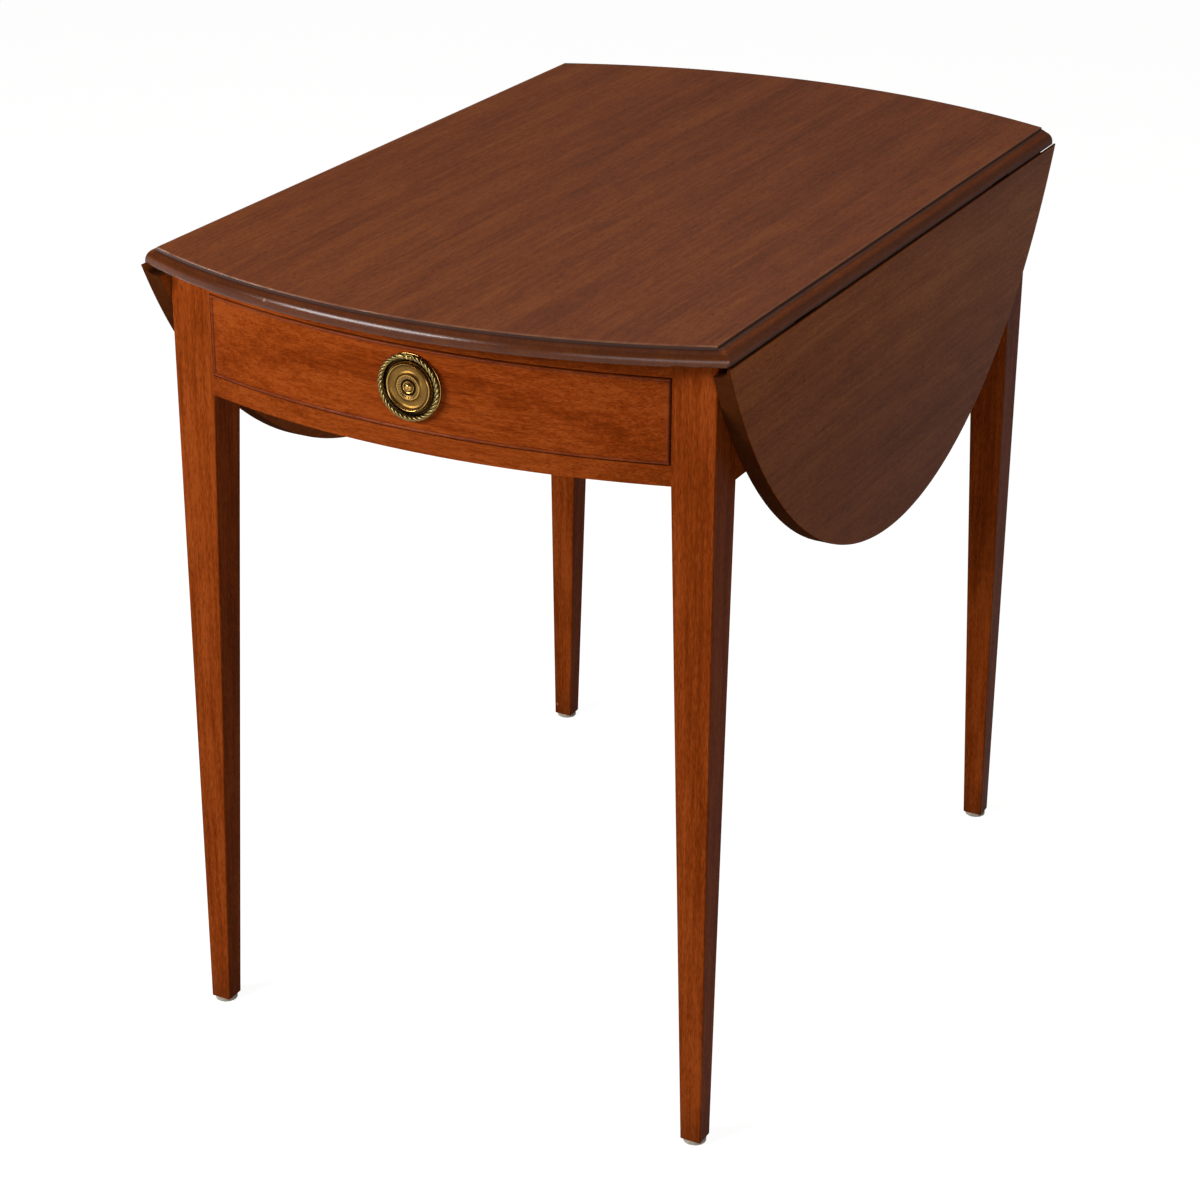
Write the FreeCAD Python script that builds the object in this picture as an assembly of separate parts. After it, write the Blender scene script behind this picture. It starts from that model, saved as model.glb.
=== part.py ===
"""Pembroke table: bow-fronted frame with one drawer, oval top and two drop leaves on rule joints.

Frame: origin on the floor under the middle of the table, +X to the right across the drawer end,
+Y from the drawer end to the back, +Z up. Millimetres. The leaves are written hanging.
"""
import FreeCAD
import Part
import math
import os

from FreeCAD import Vector

# Table as a whole
TABLE_HEIGHT = 724.0
TOP_THICKNESS = 16.0
OPEN_WIDTH = 1019.0          # oval with both leaves up, tip to tip
OPEN_LENGTH = 826.0          # oval from the front edge to the back edge
FRAME_WIDTH = 500.0          # over the outer faces of the legs
FRAME_LENGTH = 680.0         # over the front and back faces of the legs
APRON_DEPTH = 109.0
BOW_RISE = 32.0              # how far the bowed front stands out between the legs

# Legs and feet
LEG_SQUARE = 38.0
LEG_FOOT = 19.0
LEG_ARRIS = 1.2
FELT_THICKNESS = 4.0
FELT_RADIUS = 10.0

# Rule joint and moulded edge of the top
EDGE_FILLET = 2.0            # upright step above the ovolo of a rule joint
OVOLO_RADIUS = 11.0
END_STEP_INSET = 6.0         # from the edge of a bowed end to its upright step
TOP_ARRIS = 0.7
LOWER_ARRIS = 2.0
JOINT_CLEARANCE = 0.5
LEAF_LIP_GAP = 2.4
LEAF_ARRIS = 1.0
LEAF_FRAME_CLEARANCE = 1.5   # between a hanging leaf and the legs

# Drop-leaf hinges
HINGE_POSITIONS = (-215.0, 215.0)
HINGE_LENGTH = 40.0
HINGE_PLATE = 1.6
HINGE_KNUCKLES = 5
KNUCKLE_RADIUS = 2.7
KNUCKLE_GAP = 0.2
PLATE_SETBACK = 3.6          # from the pin line to the solid part of a plate
HINGE_PIN_RADIUS = 1.2
RUNNING_CLEARANCE = 0.05
KNUCKLE_CLEARANCE = 0.5
TOP_PLATE_REACH = 32.0
LEAF_PLATE_REACH = 50.0
PLATE_SCREW_SPREAD = 12.0
PLATE_SCREW_INSET = 8.0
PLATE_SCREW_ROOT = 17.0      # from the pin line to the pair of screws
LEAF_SCREW_ROOT = 24.0

# Screws: head radius, shank radius and length under the head's face
HINGE_SCREW_HEAD = 2.9
HINGE_SCREW_SHANK = 1.5
HINGE_SCREW_LENGTH = 11.0
TOP_SCREW_HEAD = 4.0
TOP_SCREW_SHANK = 2.0
TOP_SCREW_BITE = 10.0        # length of a screw inside the top

# Front rails, back apron and side rails
LOWER_RAIL = 17.0
UPPER_RAIL = 20.0
BACK_APRON_THICKNESS = 20.0
SIDE_RAIL_THICKNESS = 15.0
FLY_RAIL_THICKNESS = 19.0
TENON_LENGTH = 20.0
TENON_HEIGHT = 9.0
TENON_WIDTH = 22.0
TENON_SETBACK = 8.0          # from the leg's outer face to a front or back tenon
SIDE_TENON_THICKNESS = 9.0
SIDE_TENON_SHOULDER = 19.0   # above and below the side rail's tenon

# Fly rails
FLY_PIVOT_Y = 70.0
FLY_BRACKET_LENGTH = 250.0
FLY_FINGERS = 5
FLY_PIN_RADIUS = 2.5
FLY_CLEARANCE = 0.5
FLY_TIP_GAP = 2.0
FLY_TIP_SLOPE = 12.0
FLY_NOTCH_RADIUS = 14.0

# Drawer
DRAWER_BACK_ROOM = 154.0     # from the back end of the drawer sides to the back legs
DRAWER_FRONT_THICKNESS = 20.0
DRAWER_SIDE_THICKNESS = 12.0
DRAWER_BACK_THICKNESS = 12.0
DRAWER_BOTTOM_THICKNESS = 6.0
DRAWER_BOTTOM_RISE = 8.0
DRAWER_GROOVE = 5.0
DRAWER_SIDE_GAP = 1.2        # beside the front
DRAWER_FACE_GAP = 1.0        # above and below the front
DRAWER_RUN_GAP = 0.3
DRAWER_TOP_GAP = 2.0
DRAWER_BACK_INSET = 14.0
DRAWER_SHOULDER_LAP = 18.0   # from the leg's front face to the shoulder the sides meet
DOVETAILS = 3
DOVETAIL_LENGTH = 12.0
DOVETAIL_ROOT = 10.0
DOVETAIL_FLARE = 2.0
BEAD_WIDTH = 2.8
BEAD_DEPTH = 5.0
BEAD_RISE = 1.2

# Drawer carriage
RUNNER_WIDTH = 20.0
RUNNER_DEPTH = 16.0
GUIDE_GAP = 0.6
GUIDE_HEIGHT = 20.0
KICKER_WIDTH = 26.0
STOP_LENGTH = 30.0
STOP_DEPTH = 18.0
STOP_HEIGHT = 5.0
STOP_OFFSET = 120.0
CARRIAGE_OVERRUN = 20.0      # runner length behind the closed drawer
GLUE_BLOCK = 18.0
GLUE_BLOCK_LENGTH = 45.0
GLUE_BLOCK_SETBACKS = (32.0, 97.0)   # from the back legs to the middle of a block
KICKER_FRONT_SCREW = 62.0    # from the front end of a kicker to its first screw
KICKER_REAR_SCREW = 48.0     # from the last screw to the rear end
RAIL_SCREW_OFFSET = 100.0

# Ring pull
PULL_RISE = 3.0              # centre of the pull above the middle of the drawer front
FLANGE_RADIUS = 27.6
FLANGE_THICKNESS = 1.8
FLANGE_ROUND = 0.6
RIM_RADIUS = 20.6            # outer radius of the rosette's raised rim
RIM_HEIGHT = 4.8             # heights on the rosette are above the flange
RIM_WIDTH = 2.2
RIM_FOOT = 1.0
DISH_HEIGHT = 1.5
BOSS_RADIUS = 10.6
BOSS_WIDTH = 2.8
BOSS_HEIGHT = 4.2
WELL_HEIGHT = 2.6
BUTTON_RADIUS = 4.6
BUTTON_SHOULDER = 4.0
BUTTON_HEIGHT = 5.8
RING_RADIUS = 25.9
RING_PIVOT = 25.0            # from the centre of the plate to the pin that the ring swings on
RING_WIRE = 2.5
RING_STANDOFF = 0.4
RING_COLLAR = 2.6
RING_COLLAR_START = 3.0
RING_COLLAR_END = 7.6
RING_PIN_RADIUS = 1.1
POST_RADIUS = 2.0
PULL_SCREW_RADIUS = 2.0
PULL_SCREW_HEAD = 4.5
PULL_SCREW_HEAD_HEIGHT = 2.4
WASHER_RADIUS = 6.5
WASHER_THICKNESS = 1.0
PULL_SCREW_BITE = 4.0        # length of the screw inside the rosette

# Levels and lines that follow from the sizes above
UNDERSIDE = TABLE_HEIGHT - TOP_THICKNESS
APRON_BOTTOM = UNDERSIDE - APRON_DEPTH
OPENING_BOTTOM = APRON_BOTTOM + LOWER_RAIL
OPENING_TOP = UNDERSIDE - UPPER_RAIL
LEG_X = FRAME_WIDTH / 2
LEG_Y = FRAME_LENGTH / 2
LEG_IN_X = LEG_X - LEG_SQUARE
LEG_IN_Y = LEG_Y - LEG_SQUARE
PIN_Z = TABLE_HEIGHT - EDGE_FILLET - OVOLO_RADIUS
PIN_DROP = PIN_Z - UNDERSIDE
PIN_X = LEG_X + LEAF_FRAME_CLEARANCE + PIN_DROP
TOP_EDGE_X = PIN_X + OVOLO_RADIUS
COVE_RADIUS = OVOLO_RADIUS + JOINT_CLEARANCE
FLY_IN_X = LEG_X - FLY_RAIL_THICKNESS
SIDE_RAIL_IN_X = FLY_IN_X - SIDE_RAIL_THICKNESS
BOW_RADIUS = (LEG_IN_X ** 2 + BOW_RISE ** 2) / (2 * BOW_RISE)
BOW_FRONT_Y = -LEG_Y - BOW_RISE
BOW_CENTRE_Y = BOW_FRONT_Y + BOW_RADIUS
DRAWER_HALF = LEG_IN_X - DRAWER_SIDE_GAP
DRAWER_SIDE_IN = DRAWER_HALF - DRAWER_SIDE_THICKNESS
SHOULDER_Y = -LEG_Y + DRAWER_SHOULDER_LAP
DRAWER_END_Y = LEG_IN_Y - DRAWER_BACK_ROOM
SIDE_BOTTOM = OPENING_BOTTOM + DRAWER_RUN_GAP
SIDE_TOP = OPENING_TOP - DRAWER_TOP_GAP
PANEL_BOTTOM = SIDE_BOTTOM + DRAWER_BOTTOM_RISE
PANEL_TOP = PANEL_BOTTOM + DRAWER_BOTTOM_THICKNESS
FRONT_BOTTOM = OPENING_BOTTOM + DRAWER_FACE_GAP
FRONT_TOP = OPENING_TOP - DRAWER_FACE_GAP
CARRIAGE_END_Y = DRAWER_END_Y + CARRIAGE_OVERRUN
PULL_Z = (FRONT_BOTTOM + FRONT_TOP) / 2 + PULL_RISE
RING_OUT = FLANGE_THICKNESS + RING_STANDOFF + RING_COLLAR
X_AXIS = Vector(1, 0, 0)
Y_AXIS = Vector(0, 1, 0)
Z_AXIS = Vector(0, 0, 1)
ORIGIN = Vector(0, 0, 0)
HALF_CORNER = math.radians(45)


def box(x_pair, y_pair, z_pair):
    """Block between two corners, given as a low and a high value on each axis."""
    x_low, x_high = sorted(x_pair)
    y_low, y_high = sorted(y_pair)
    z_low, z_high = sorted(z_pair)
    return Part.makeBox(x_high - x_low, y_high - y_low, z_high - z_low, Vector(x_low, y_low, z_low))


def line(start, end):
    """Straight edge."""
    return Part.LineSegment(start, end).toShape()


def arc(start, middle, end):
    """Round edge through three points."""
    return Part.Arc(start, middle, end).toShape()


def solid_from(edges, travel):
    """Closed outline pushed along a vector."""
    return Part.Face(Part.Wire(edges)).extrude(travel)


def polygon_from(points, travel):
    """Straight-sided outline pushed along a vector."""
    return Part.Face(Part.makePolygon(points + points[:1])).extrude(travel)


def mirror_x(shape):
    """Same shape on the other side of the drawer's centre line."""
    return shape.mirror(ORIGIN, X_AXIS)


def mirror_y(shape):
    """Same shape at the other end of the table."""
    return shape.mirror(ORIGIN, Y_AXIS)


def corner_arc(centre, radius, first, second):
    """Quarter round about a centre in the XZ plane between two unit directions."""
    between = (first + second).normalize()
    return arc(centre + first * radius, centre + between * radius, centre + second * radius)


def bow_y(x, inset=0.0):
    """Y of the bowed front at x, or of a face that lies inset behind it."""
    return BOW_CENTRE_Y - math.sqrt((BOW_RADIUS - inset) ** 2 - x ** 2)


def bow_edge(half_width, z, inset=0.0):
    """Edge along the bowed front from left to right."""
    end_y = bow_y(half_width, inset)
    middle = Vector(0, bow_y(0, inset), z)
    return arc(Vector(-half_width, end_y, z), middle, Vector(half_width, end_y, z))


def bowed_block(half_width, back_y, z_low, z_high):
    """Block with the bowed front and a straight back."""
    left = Vector(-half_width, back_y, z_low)
    right = Vector(half_width, back_y, z_low)
    front = bow_edge(half_width, z_low)
    left_front = Vector(-half_width, bow_y(half_width), z_low)
    right_front = Vector(half_width, bow_y(half_width), z_low)
    edges = [front, line(right_front, right), line(right, left), line(left, left_front)]
    return solid_from(edges, Z_AXIS * (z_high - z_low))


def bowed_shell(half_width, thickness, z_low, z_high):
    """Board of even thickness bent to the bowed front."""
    front = bow_edge(half_width, z_low)
    back = bow_edge(half_width, z_low, thickness)
    ends = []
    for side in (-1, 1):
        outer = Vector(side * half_width, bow_y(half_width), z_low)
        inner = Vector(side * half_width, bow_y(half_width, thickness), z_low)
        ends.append(line(outer, inner))
    return solid_from([front, ends[1], back, ends[0]], Z_AXIS * (z_high - z_low))


def screw(face_point, direction, head, shank, length):
    """Countersunk wood screw whose head lies flush at face_point and which points along direction."""
    cone = head - shank
    points = [
        Vector(0, 0, 0),
        Vector(head, 0, 0),
        Vector(shank, 0, cone),
        Vector(shank, 0, length - 2 * shank),
        Vector(0, 0, length),
    ]
    body = Part.Face(Part.makePolygon(points + points[:1])).revolve(ORIGIN, Z_AXIS, 360)
    body.Placement = FreeCAD.Placement(face_point, FreeCAD.Rotation(Z_AXIS, direction))
    return body


def moulded_section(reach, step_inset):
    """Half section of the top out to reach: lower arris, ovolo, upright step and top arris."""
    lower = Vector(reach - LOWER_ARRIS, 0, UNDERSIDE + LOWER_ARRIS)
    ovolo = Vector(reach - OVOLO_RADIUS, 0, PIN_Z)
    climb = math.acos(1 - step_inset / OVOLO_RADIUS)
    to_step = Vector(math.cos(climb), 0, math.sin(climb))
    upper = Vector(reach - step_inset - TOP_ARRIS, 0, TABLE_HEIGHT - TOP_ARRIS)
    edges = [
        line(Vector(0, 0, UNDERSIDE), lower - Z_AXIS * LOWER_ARRIS),
        corner_arc(lower, LOWER_ARRIS, -Z_AXIS, X_AXIS),
        line(lower + X_AXIS * LOWER_ARRIS, ovolo + X_AXIS * OVOLO_RADIUS),
        corner_arc(ovolo, OVOLO_RADIUS, X_AXIS, to_step),
        line(ovolo + to_step * OVOLO_RADIUS, upper + X_AXIS * TOP_ARRIS),
        corner_arc(upper, TOP_ARRIS, X_AXIS, Z_AXIS),
        line(upper + Z_AXIS * TOP_ARRIS, Vector(0, 0, TABLE_HEIGHT)),
        line(Vector(0, 0, TABLE_HEIGHT), Vector(0, 0, UNDERSIDE)),
    ]
    return Part.Face(Part.Wire(edges))


def oval_y(x):
    """Half length of the open oval at x."""
    return OPEN_LENGTH / 2 * math.sqrt(1 - (2 * x / OPEN_WIDTH) ** 2)


def hinge_sections(plate_toward, y):
    """Knuckle spans along Y for the plate on one side of the pin: even ones on the top, odd on the leaf."""
    pitch = HINGE_LENGTH / HINGE_KNUCKLES
    first = 0 if plate_toward < 0 else 1
    start = y - HINGE_LENGTH / 2
    spans = []
    for index in range(first, HINGE_KNUCKLES, 2):
        low = start + index * pitch + KNUCKLE_GAP / 2
        spans.append((low, low + pitch - KNUCKLE_GAP))
    return spans


def plate_block(toward, reach, y):
    """Flat part of a hinge plate, flush with the underside."""
    x_pair = (PIN_X + toward * PLATE_SETBACK, PIN_X + toward * reach)
    return box(x_pair, (y - HINGE_LENGTH / 2, y + HINGE_LENGTH / 2), (UNDERSIDE, UNDERSIDE + HINGE_PLATE))


def plate_screws(toward, root, reach, y):
    """Three countersunk screws of one hinge plate: a pair near the pin and one at the end."""
    places = [(root, -PLATE_SCREW_SPREAD), (root, PLATE_SCREW_SPREAD), (reach - PLATE_SCREW_INSET, 0.0)]
    screws = []
    for out, along in places:
        point = Vector(PIN_X + toward * out, y + along, UNDERSIDE)
        screws.append(screw(point, Z_AXIS, HINGE_SCREW_HEAD, HINGE_SCREW_SHANK, HINGE_SCREW_LENGTH))
    return screws


def hinge_plate(toward, reach, bore, y):
    """One hinge plate with its knuckles, with the leaf up."""
    plate = plate_block(toward, reach, y)
    for low, high in hinge_sections(toward, y):
        x_pair = (PIN_X, PIN_X + toward * PLATE_SETBACK)
        tongue = box(x_pair, (low, high), (UNDERSIDE, UNDERSIDE + HINGE_PLATE))
        knuckle = Part.makeCylinder(KNUCKLE_RADIUS, high - low, Vector(PIN_X, low, PIN_Z), Y_AXIS)
        plate = plate.fuse([tongue, knuckle])
    hole = Part.makeCylinder(bore, HINGE_LENGTH, Vector(PIN_X, y - HINGE_LENGTH / 2, PIN_Z), Y_AXIS)
    return plate.cut(hole).removeSplitter()


def hinge_reliefs(y):
    """What is cut out of the top's underside for one hinge."""
    half = HINGE_LENGTH / 2
    loose = half + KNUCKLE_CLEARANCE
    barrel = KNUCKLE_RADIUS + KNUCKLE_CLEARANCE
    barrel_x = (PIN_X - PLATE_SETBACK, PIN_X + barrel)
    barrel_slot = box(barrel_x, (y - loose, y + loose), (UNDERSIDE, PIN_Z + barrel))
    swing_x = (PIN_X, TOP_EDGE_X)
    swing_z = (UNDERSIDE, UNDERSIDE + HINGE_PLATE + KNUCKLE_CLEARANCE)
    swing_slot = box(swing_x, (y - loose, y + loose), swing_z)
    return [plate_block(-1, TOP_PLATE_REACH, y), barrel_slot, swing_slot]


def hang(shape):
    """Swing a leaf-side shape on the right from up to hanging."""
    hanging = shape.copy()
    hanging.rotate(Vector(PIN_X, 0, PIN_Z), Y_AXIS, 90)
    return hanging


def drop_leaf():
    """Right leaf with the leaf up: oval edge, hollow along the joint."""
    outline = Part.Ellipse(Vector(0, 0, UNDERSIDE), OPEN_WIDTH / 2, OPEN_LENGTH / 2)
    oval = Part.Face(Part.Wire(outline.toShape())).extrude(Z_AXIS * TOP_THICKNESS)
    rims = [edge for edge in oval.Edges if isinstance(edge.Curve, Part.Ellipse)]
    oval = oval.makeFillet(LEAF_ARRIS, rims)
    start = Vector(PIN_X, -OPEN_LENGTH / 2, PIN_Z)
    lip_height = math.sqrt(COVE_RADIUS ** 2 - LEAF_LIP_GAP ** 2)
    middle_angle = math.asin(lip_height / COVE_RADIUS) / 2
    rise = TABLE_HEIGHT - PIN_Z
    far = OPEN_WIDTH / 2
    lip_foot = start + Vector(LEAF_LIP_GAP, 0, lip_height)
    cove_middle = start + Vector(math.cos(middle_angle), 0, math.sin(middle_angle)) * COVE_RADIUS
    cove_foot = start + X_AXIS * COVE_RADIUS
    lip_round = start + Vector(LEAF_LIP_GAP + LEAF_ARRIS, 0, rise - LEAF_ARRIS)
    top_far = start + Vector(far, 0, rise)
    low_far = start + Vector(far, 0, -PIN_DROP)
    low_near = cove_foot - Z_AXIS * PIN_DROP
    edges = [
        line(lip_round + Z_AXIS * LEAF_ARRIS, top_far),
        line(top_far, low_far),
        line(low_far, low_near),
        line(low_near, cove_foot),
        arc(cove_foot, cove_middle, lip_foot),
        line(lip_foot, lip_round - X_AXIS * LEAF_ARRIS),
        corner_arc(lip_round, LEAF_ARRIS, -X_AXIS, Z_AXIS),
    ]
    return oval.common(solid_from(edges, Y_AXIS * OPEN_LENGTH))


def leaf_pieces():
    """Right leaf, its hinge plates and its screws, all hanging."""
    leaf = drop_leaf()
    plates = []
    screws = []
    for y in HINGE_POSITIONS:
        fixings = plate_screws(1, LEAF_SCREW_ROOT, LEAF_PLATE_REACH, y)
        plate = hinge_plate(1, LEAF_PLATE_REACH, HINGE_PIN_RADIUS + RUNNING_CLEARANCE, y)
        leaf = leaf.cut([plate_block(1, LEAF_PLATE_REACH, y)] + fixings)
        plates.append(hang(plate.cut(fixings)))
        screws.extend(hang(one) for one in fixings)
    return hang(leaf), Part.makeCompound(plates), Part.makeCompound(screws)


def top_hinge_pieces():
    """Right-hand hinge plates in the top, their screws and the pins."""
    plates = []
    screws = []
    pins = []
    for y in HINGE_POSITIONS:
        fixings = plate_screws(-1, PLATE_SCREW_ROOT, TOP_PLATE_REACH, y)
        plates.append(hinge_plate(-1, TOP_PLATE_REACH, HINGE_PIN_RADIUS, y).cut(fixings))
        screws.extend(fixings)
        foot = Vector(PIN_X, y - HINGE_LENGTH / 2, PIN_Z)
        pins.append(Part.makeCylinder(HINGE_PIN_RADIUS, HINGE_LENGTH, foot, Y_AXIS))
    return plates, screws, pins


def table_top(hold_down_screws):
    """Fixed top: moulded bowed ends and rule-joint sides, cut for hinges and screws."""
    half = moulded_section(TOP_EDGE_X, OVOLO_RADIUS)
    half.translate(Y_AXIS * (-OPEN_LENGTH / 2))
    strip = half.extrude(Y_AXIS * OPEN_LENGTH)
    strip = strip.fuse(mirror_x(strip)).removeSplitter()
    sagitta = OPEN_LENGTH / 2 - oval_y(TOP_EDGE_X)
    end_radius = (TOP_EDGE_X ** 2 + sagitta ** 2) / (2 * sagitta)
    centre = Vector(0, end_radius - OPEN_LENGTH / 2, 0)
    disc_section = moulded_section(end_radius, END_STEP_INSET)
    disc_section.translate(centre)
    disc = disc_section.revolve(centre, Z_AXIS, 360)
    top = strip.common(disc).common(mirror_y(disc))
    cuts = list(hold_down_screws)
    for y in HINGE_POSITIONS:
        one_side = hinge_reliefs(y) + plate_screws(-1, PLATE_SCREW_ROOT, TOP_PLATE_REACH, y)
        cuts.extend(one_side)
        cuts.extend(mirror_x(cut) for cut in one_side)
    return top.cut(cuts)


def end_tenons(bottom, top):
    """Right-hand tenons of a front rail or of the back apron, at the drawer end."""
    x_pair = (LEG_IN_X, LEG_IN_X + TENON_LENGTH)
    y_pair = (-LEG_Y + TENON_SETBACK, -LEG_Y + TENON_SETBACK + TENON_WIDTH)
    return box(x_pair, y_pair, (bottom, top))


def lower_tenon():
    """Tenon low on the front lower rail and on the back apron."""
    middle = APRON_BOTTOM + LOWER_RAIL / 2
    return end_tenons(middle - TENON_HEIGHT / 2, middle + TENON_HEIGHT / 2)


def upper_tenon():
    """Tenon high on the front upper rail and on the back apron."""
    middle = UNDERSIDE - UPPER_RAIL / 2
    return end_tenons(middle - TENON_HEIGHT / 2, middle + TENON_HEIGHT / 2)


def side_tenon():
    """Tenon of a right-hand side rail at the drawer end."""
    middle = (SIDE_RAIL_IN_X + FLY_IN_X) / 2
    x_pair = (middle - SIDE_TENON_THICKNESS / 2, middle + SIDE_TENON_THICKNESS / 2)
    y_pair = (-LEG_IN_Y - TENON_LENGTH, -LEG_IN_Y)
    z_pair = (APRON_BOTTOM + SIDE_TENON_SHOULDER, UNDERSIDE - SIDE_TENON_SHOULDER - UPPER_RAIL / 2)
    return box(x_pair, y_pair, z_pair)


def front_leg():
    """Right-hand leg at the drawer end: square head, taper on the inner faces, mortises."""
    def taper(outer, inner, travel, as_point):
        """Tapered side view pushed through the leg's thickness."""
        foot = outer - math.copysign(LEG_FOOT, outer)
        outline = [(outer, APRON_BOTTOM), (outer, FELT_THICKNESS), (foot, FELT_THICKNESS), (inner, APRON_BOTTOM)]
        return polygon_from([as_point(across, up) for across, up in outline], travel)

    across_x = taper(LEG_X, LEG_IN_X, Y_AXIS * LEG_SQUARE, lambda x, z: Vector(x, -LEG_Y, z))
    across_y = taper(-LEG_Y, -LEG_IN_Y, X_AXIS * LEG_SQUARE, lambda y, z: Vector(LEG_IN_X, y, z))
    shaft = across_x.common(across_y)
    long_edges = [edge for edge in shaft.Edges if edge.Length > APRON_DEPTH]
    shaft = shaft.makeFillet(LEG_ARRIS, long_edges)
    head = box((LEG_IN_X, LEG_X), (-LEG_Y, -LEG_IN_Y), (APRON_BOTTOM, UNDERSIDE))
    corner = Vector(LEG_X, -LEG_Y, UNDERSIDE)
    arris = [edge for edge in head.Edges
             if all((vertex.Point - corner).cross(Z_AXIS).Length < LEG_ARRIS for vertex in edge.Vertexes)]
    head = head.makeFillet(LEG_ARRIS, arris)
    leg = shaft.fuse(head)
    return leg.cut([lower_tenon(), upper_tenon(), side_tenon()])


def felt_glide():
    """Felt disc under the right-hand foot at the drawer end."""
    centre = Vector(LEG_X - LEG_FOOT / 2, -LEG_Y + LEG_FOOT / 2, 0)
    return Part.makeCylinder(FELT_RADIUS, FELT_THICKNESS, centre)


def with_both(block, tenon):
    """Block with a tenon at its right end and the same at its left end."""
    return block.fuse([tenon, mirror_x(tenon)]).removeSplitter()


def hold_down_screws():
    """Screws up through the kickers and the front upper rail into the top."""
    length = UPPER_RAIL + TOP_SCREW_BITE
    places = []
    for side in (-1, 1):
        for y in (-LEG_IN_Y + KICKER_FRONT_SCREW, CARRIAGE_END_Y - KICKER_REAR_SCREW):
            places.append(Vector(side * (SIDE_RAIL_IN_X - KICKER_WIDTH / 2), y, OPENING_TOP))
        places.append(Vector(side * RAIL_SCREW_OFFSET, -LEG_Y + LEG_SQUARE / 2, OPENING_TOP))
    return [screw(place, Z_AXIS, TOP_SCREW_HEAD, TOP_SCREW_SHANK, length) for place in places]


def back_apron():
    """Bowed board across the back, with two tenons at each end."""
    board = bowed_shell(LEG_IN_X, BACK_APRON_THICKNESS, APRON_BOTTOM, UNDERSIDE)
    within = box((-LEG_X, LEG_X), (BOW_FRONT_Y, -LEG_Y + BACK_APRON_THICKNESS), (0, TABLE_HEIGHT))
    for tenon in (lower_tenon(), upper_tenon()):
        board = with_both(board, tenon.common(within))
    return mirror_y(board)


def side_rail():
    """Right-hand inner side rail with a tenon at each end."""
    y_pair = (-LEG_IN_Y, LEG_IN_Y)
    rail = box((SIDE_RAIL_IN_X, FLY_IN_X), y_pair, (APRON_BOTTOM, UNDERSIDE))
    return rail.fuse([side_tenon(), mirror_y(side_tenon())]).removeSplitter()


def fly_fingers(first, z_top):
    """Height spans of the knuckle's fingers, every other one from first."""
    pitch = APRON_DEPTH / FLY_FINGERS
    spans = []
    for index in range(first, FLY_FINGERS, 2):
        low = APRON_BOTTOM + index * pitch + FLY_CLEARANCE / 2
        high = APRON_BOTTOM + (index + 1) * pitch - FLY_CLEARANCE / 2
        low = APRON_BOTTOM if index == 0 else low
        spans.append((low, z_top if index == FLY_FINGERS - 1 else high))
    return spans


def fly_rail_pieces():
    """Right-hand fly rail: rear length with fingers, swinging bracket, front length, pin."""
    pivot_x = (FLY_IN_X + LEG_X) / 2
    knuckle = FLY_RAIL_THICKNESS / 2 - FLY_CLEARANCE
    reach = knuckle + 2 * FLY_CLEARANCE
    bracket_x = (FLY_IN_X + FLY_CLEARANCE, LEG_X)
    tip_y = FLY_PIVOT_Y - FLY_BRACKET_LENGTH
    bracket_top = UNDERSIDE - FLY_CLEARANCE
    full = (APRON_BOTTOM, UNDERSIDE)

    rear = box((FLY_IN_X, LEG_X), (FLY_PIVOT_Y + reach, LEG_IN_Y), full)
    for low, high in fly_fingers(0, UNDERSIDE):
        barrel = Part.makeCylinder(knuckle, high - low, Vector(pivot_x, FLY_PIVOT_Y, low))
        neck_x = (pivot_x - knuckle, pivot_x + knuckle)
        neck = box(neck_x, (FLY_PIVOT_Y, FLY_PIVOT_Y + reach), (low, high))
        rear = rear.fuse([barrel, neck])

    bracket = box(bracket_x, (tip_y, FLY_PIVOT_Y - reach), (APRON_BOTTOM, bracket_top))
    for low, high in fly_fingers(1, bracket_top):
        barrel = Part.makeCylinder(knuckle, high - low, Vector(pivot_x, FLY_PIVOT_Y, low))
        neck_x = (pivot_x - knuckle, pivot_x + knuckle)
        neck = box(neck_x, (FLY_PIVOT_Y - reach, FLY_PIVOT_Y), (low, high))
        bracket = bracket.fuse([barrel, neck])

    def tip_outline(offset, end_y):
        """Sloping end of the bracket in plan, as a block from the slope to end_y."""
        outline = [
            Vector(FLY_IN_X, end_y, APRON_BOTTOM),
            Vector(FLY_IN_X, tip_y + offset + FLY_TIP_SLOPE, APRON_BOTTOM),
            Vector(LEG_X, tip_y + offset, APRON_BOTTOM),
            Vector(LEG_X, end_y, APRON_BOTTOM),
        ]
        return polygon_from(outline, Z_AXIS * APRON_DEPTH)

    bracket = bracket.cut(tip_outline(0, tip_y - FLY_TIP_SLOPE))
    notch_foot = Vector(FLY_IN_X, tip_y + FLY_NOTCH_RADIUS + FLY_TIP_SLOPE, APRON_BOTTOM)
    bracket = bracket.cut(Part.makeCylinder(FLY_NOTCH_RADIUS, FLY_RAIL_THICKNESS, notch_foot, X_AXIS))
    front = tip_outline(-FLY_TIP_GAP, -LEG_IN_Y)

    foot = Vector(pivot_x, FLY_PIVOT_Y, APRON_BOTTOM)
    pin = Part.makeCylinder(FLY_PIN_RADIUS, APRON_DEPTH, foot)
    loose = Part.makeCylinder(FLY_PIN_RADIUS + RUNNING_CLEARANCE, APRON_DEPTH, foot)
    return rear.cut(pin).removeSplitter(), bracket.cut(loose).removeSplitter(), front, pin


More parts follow.
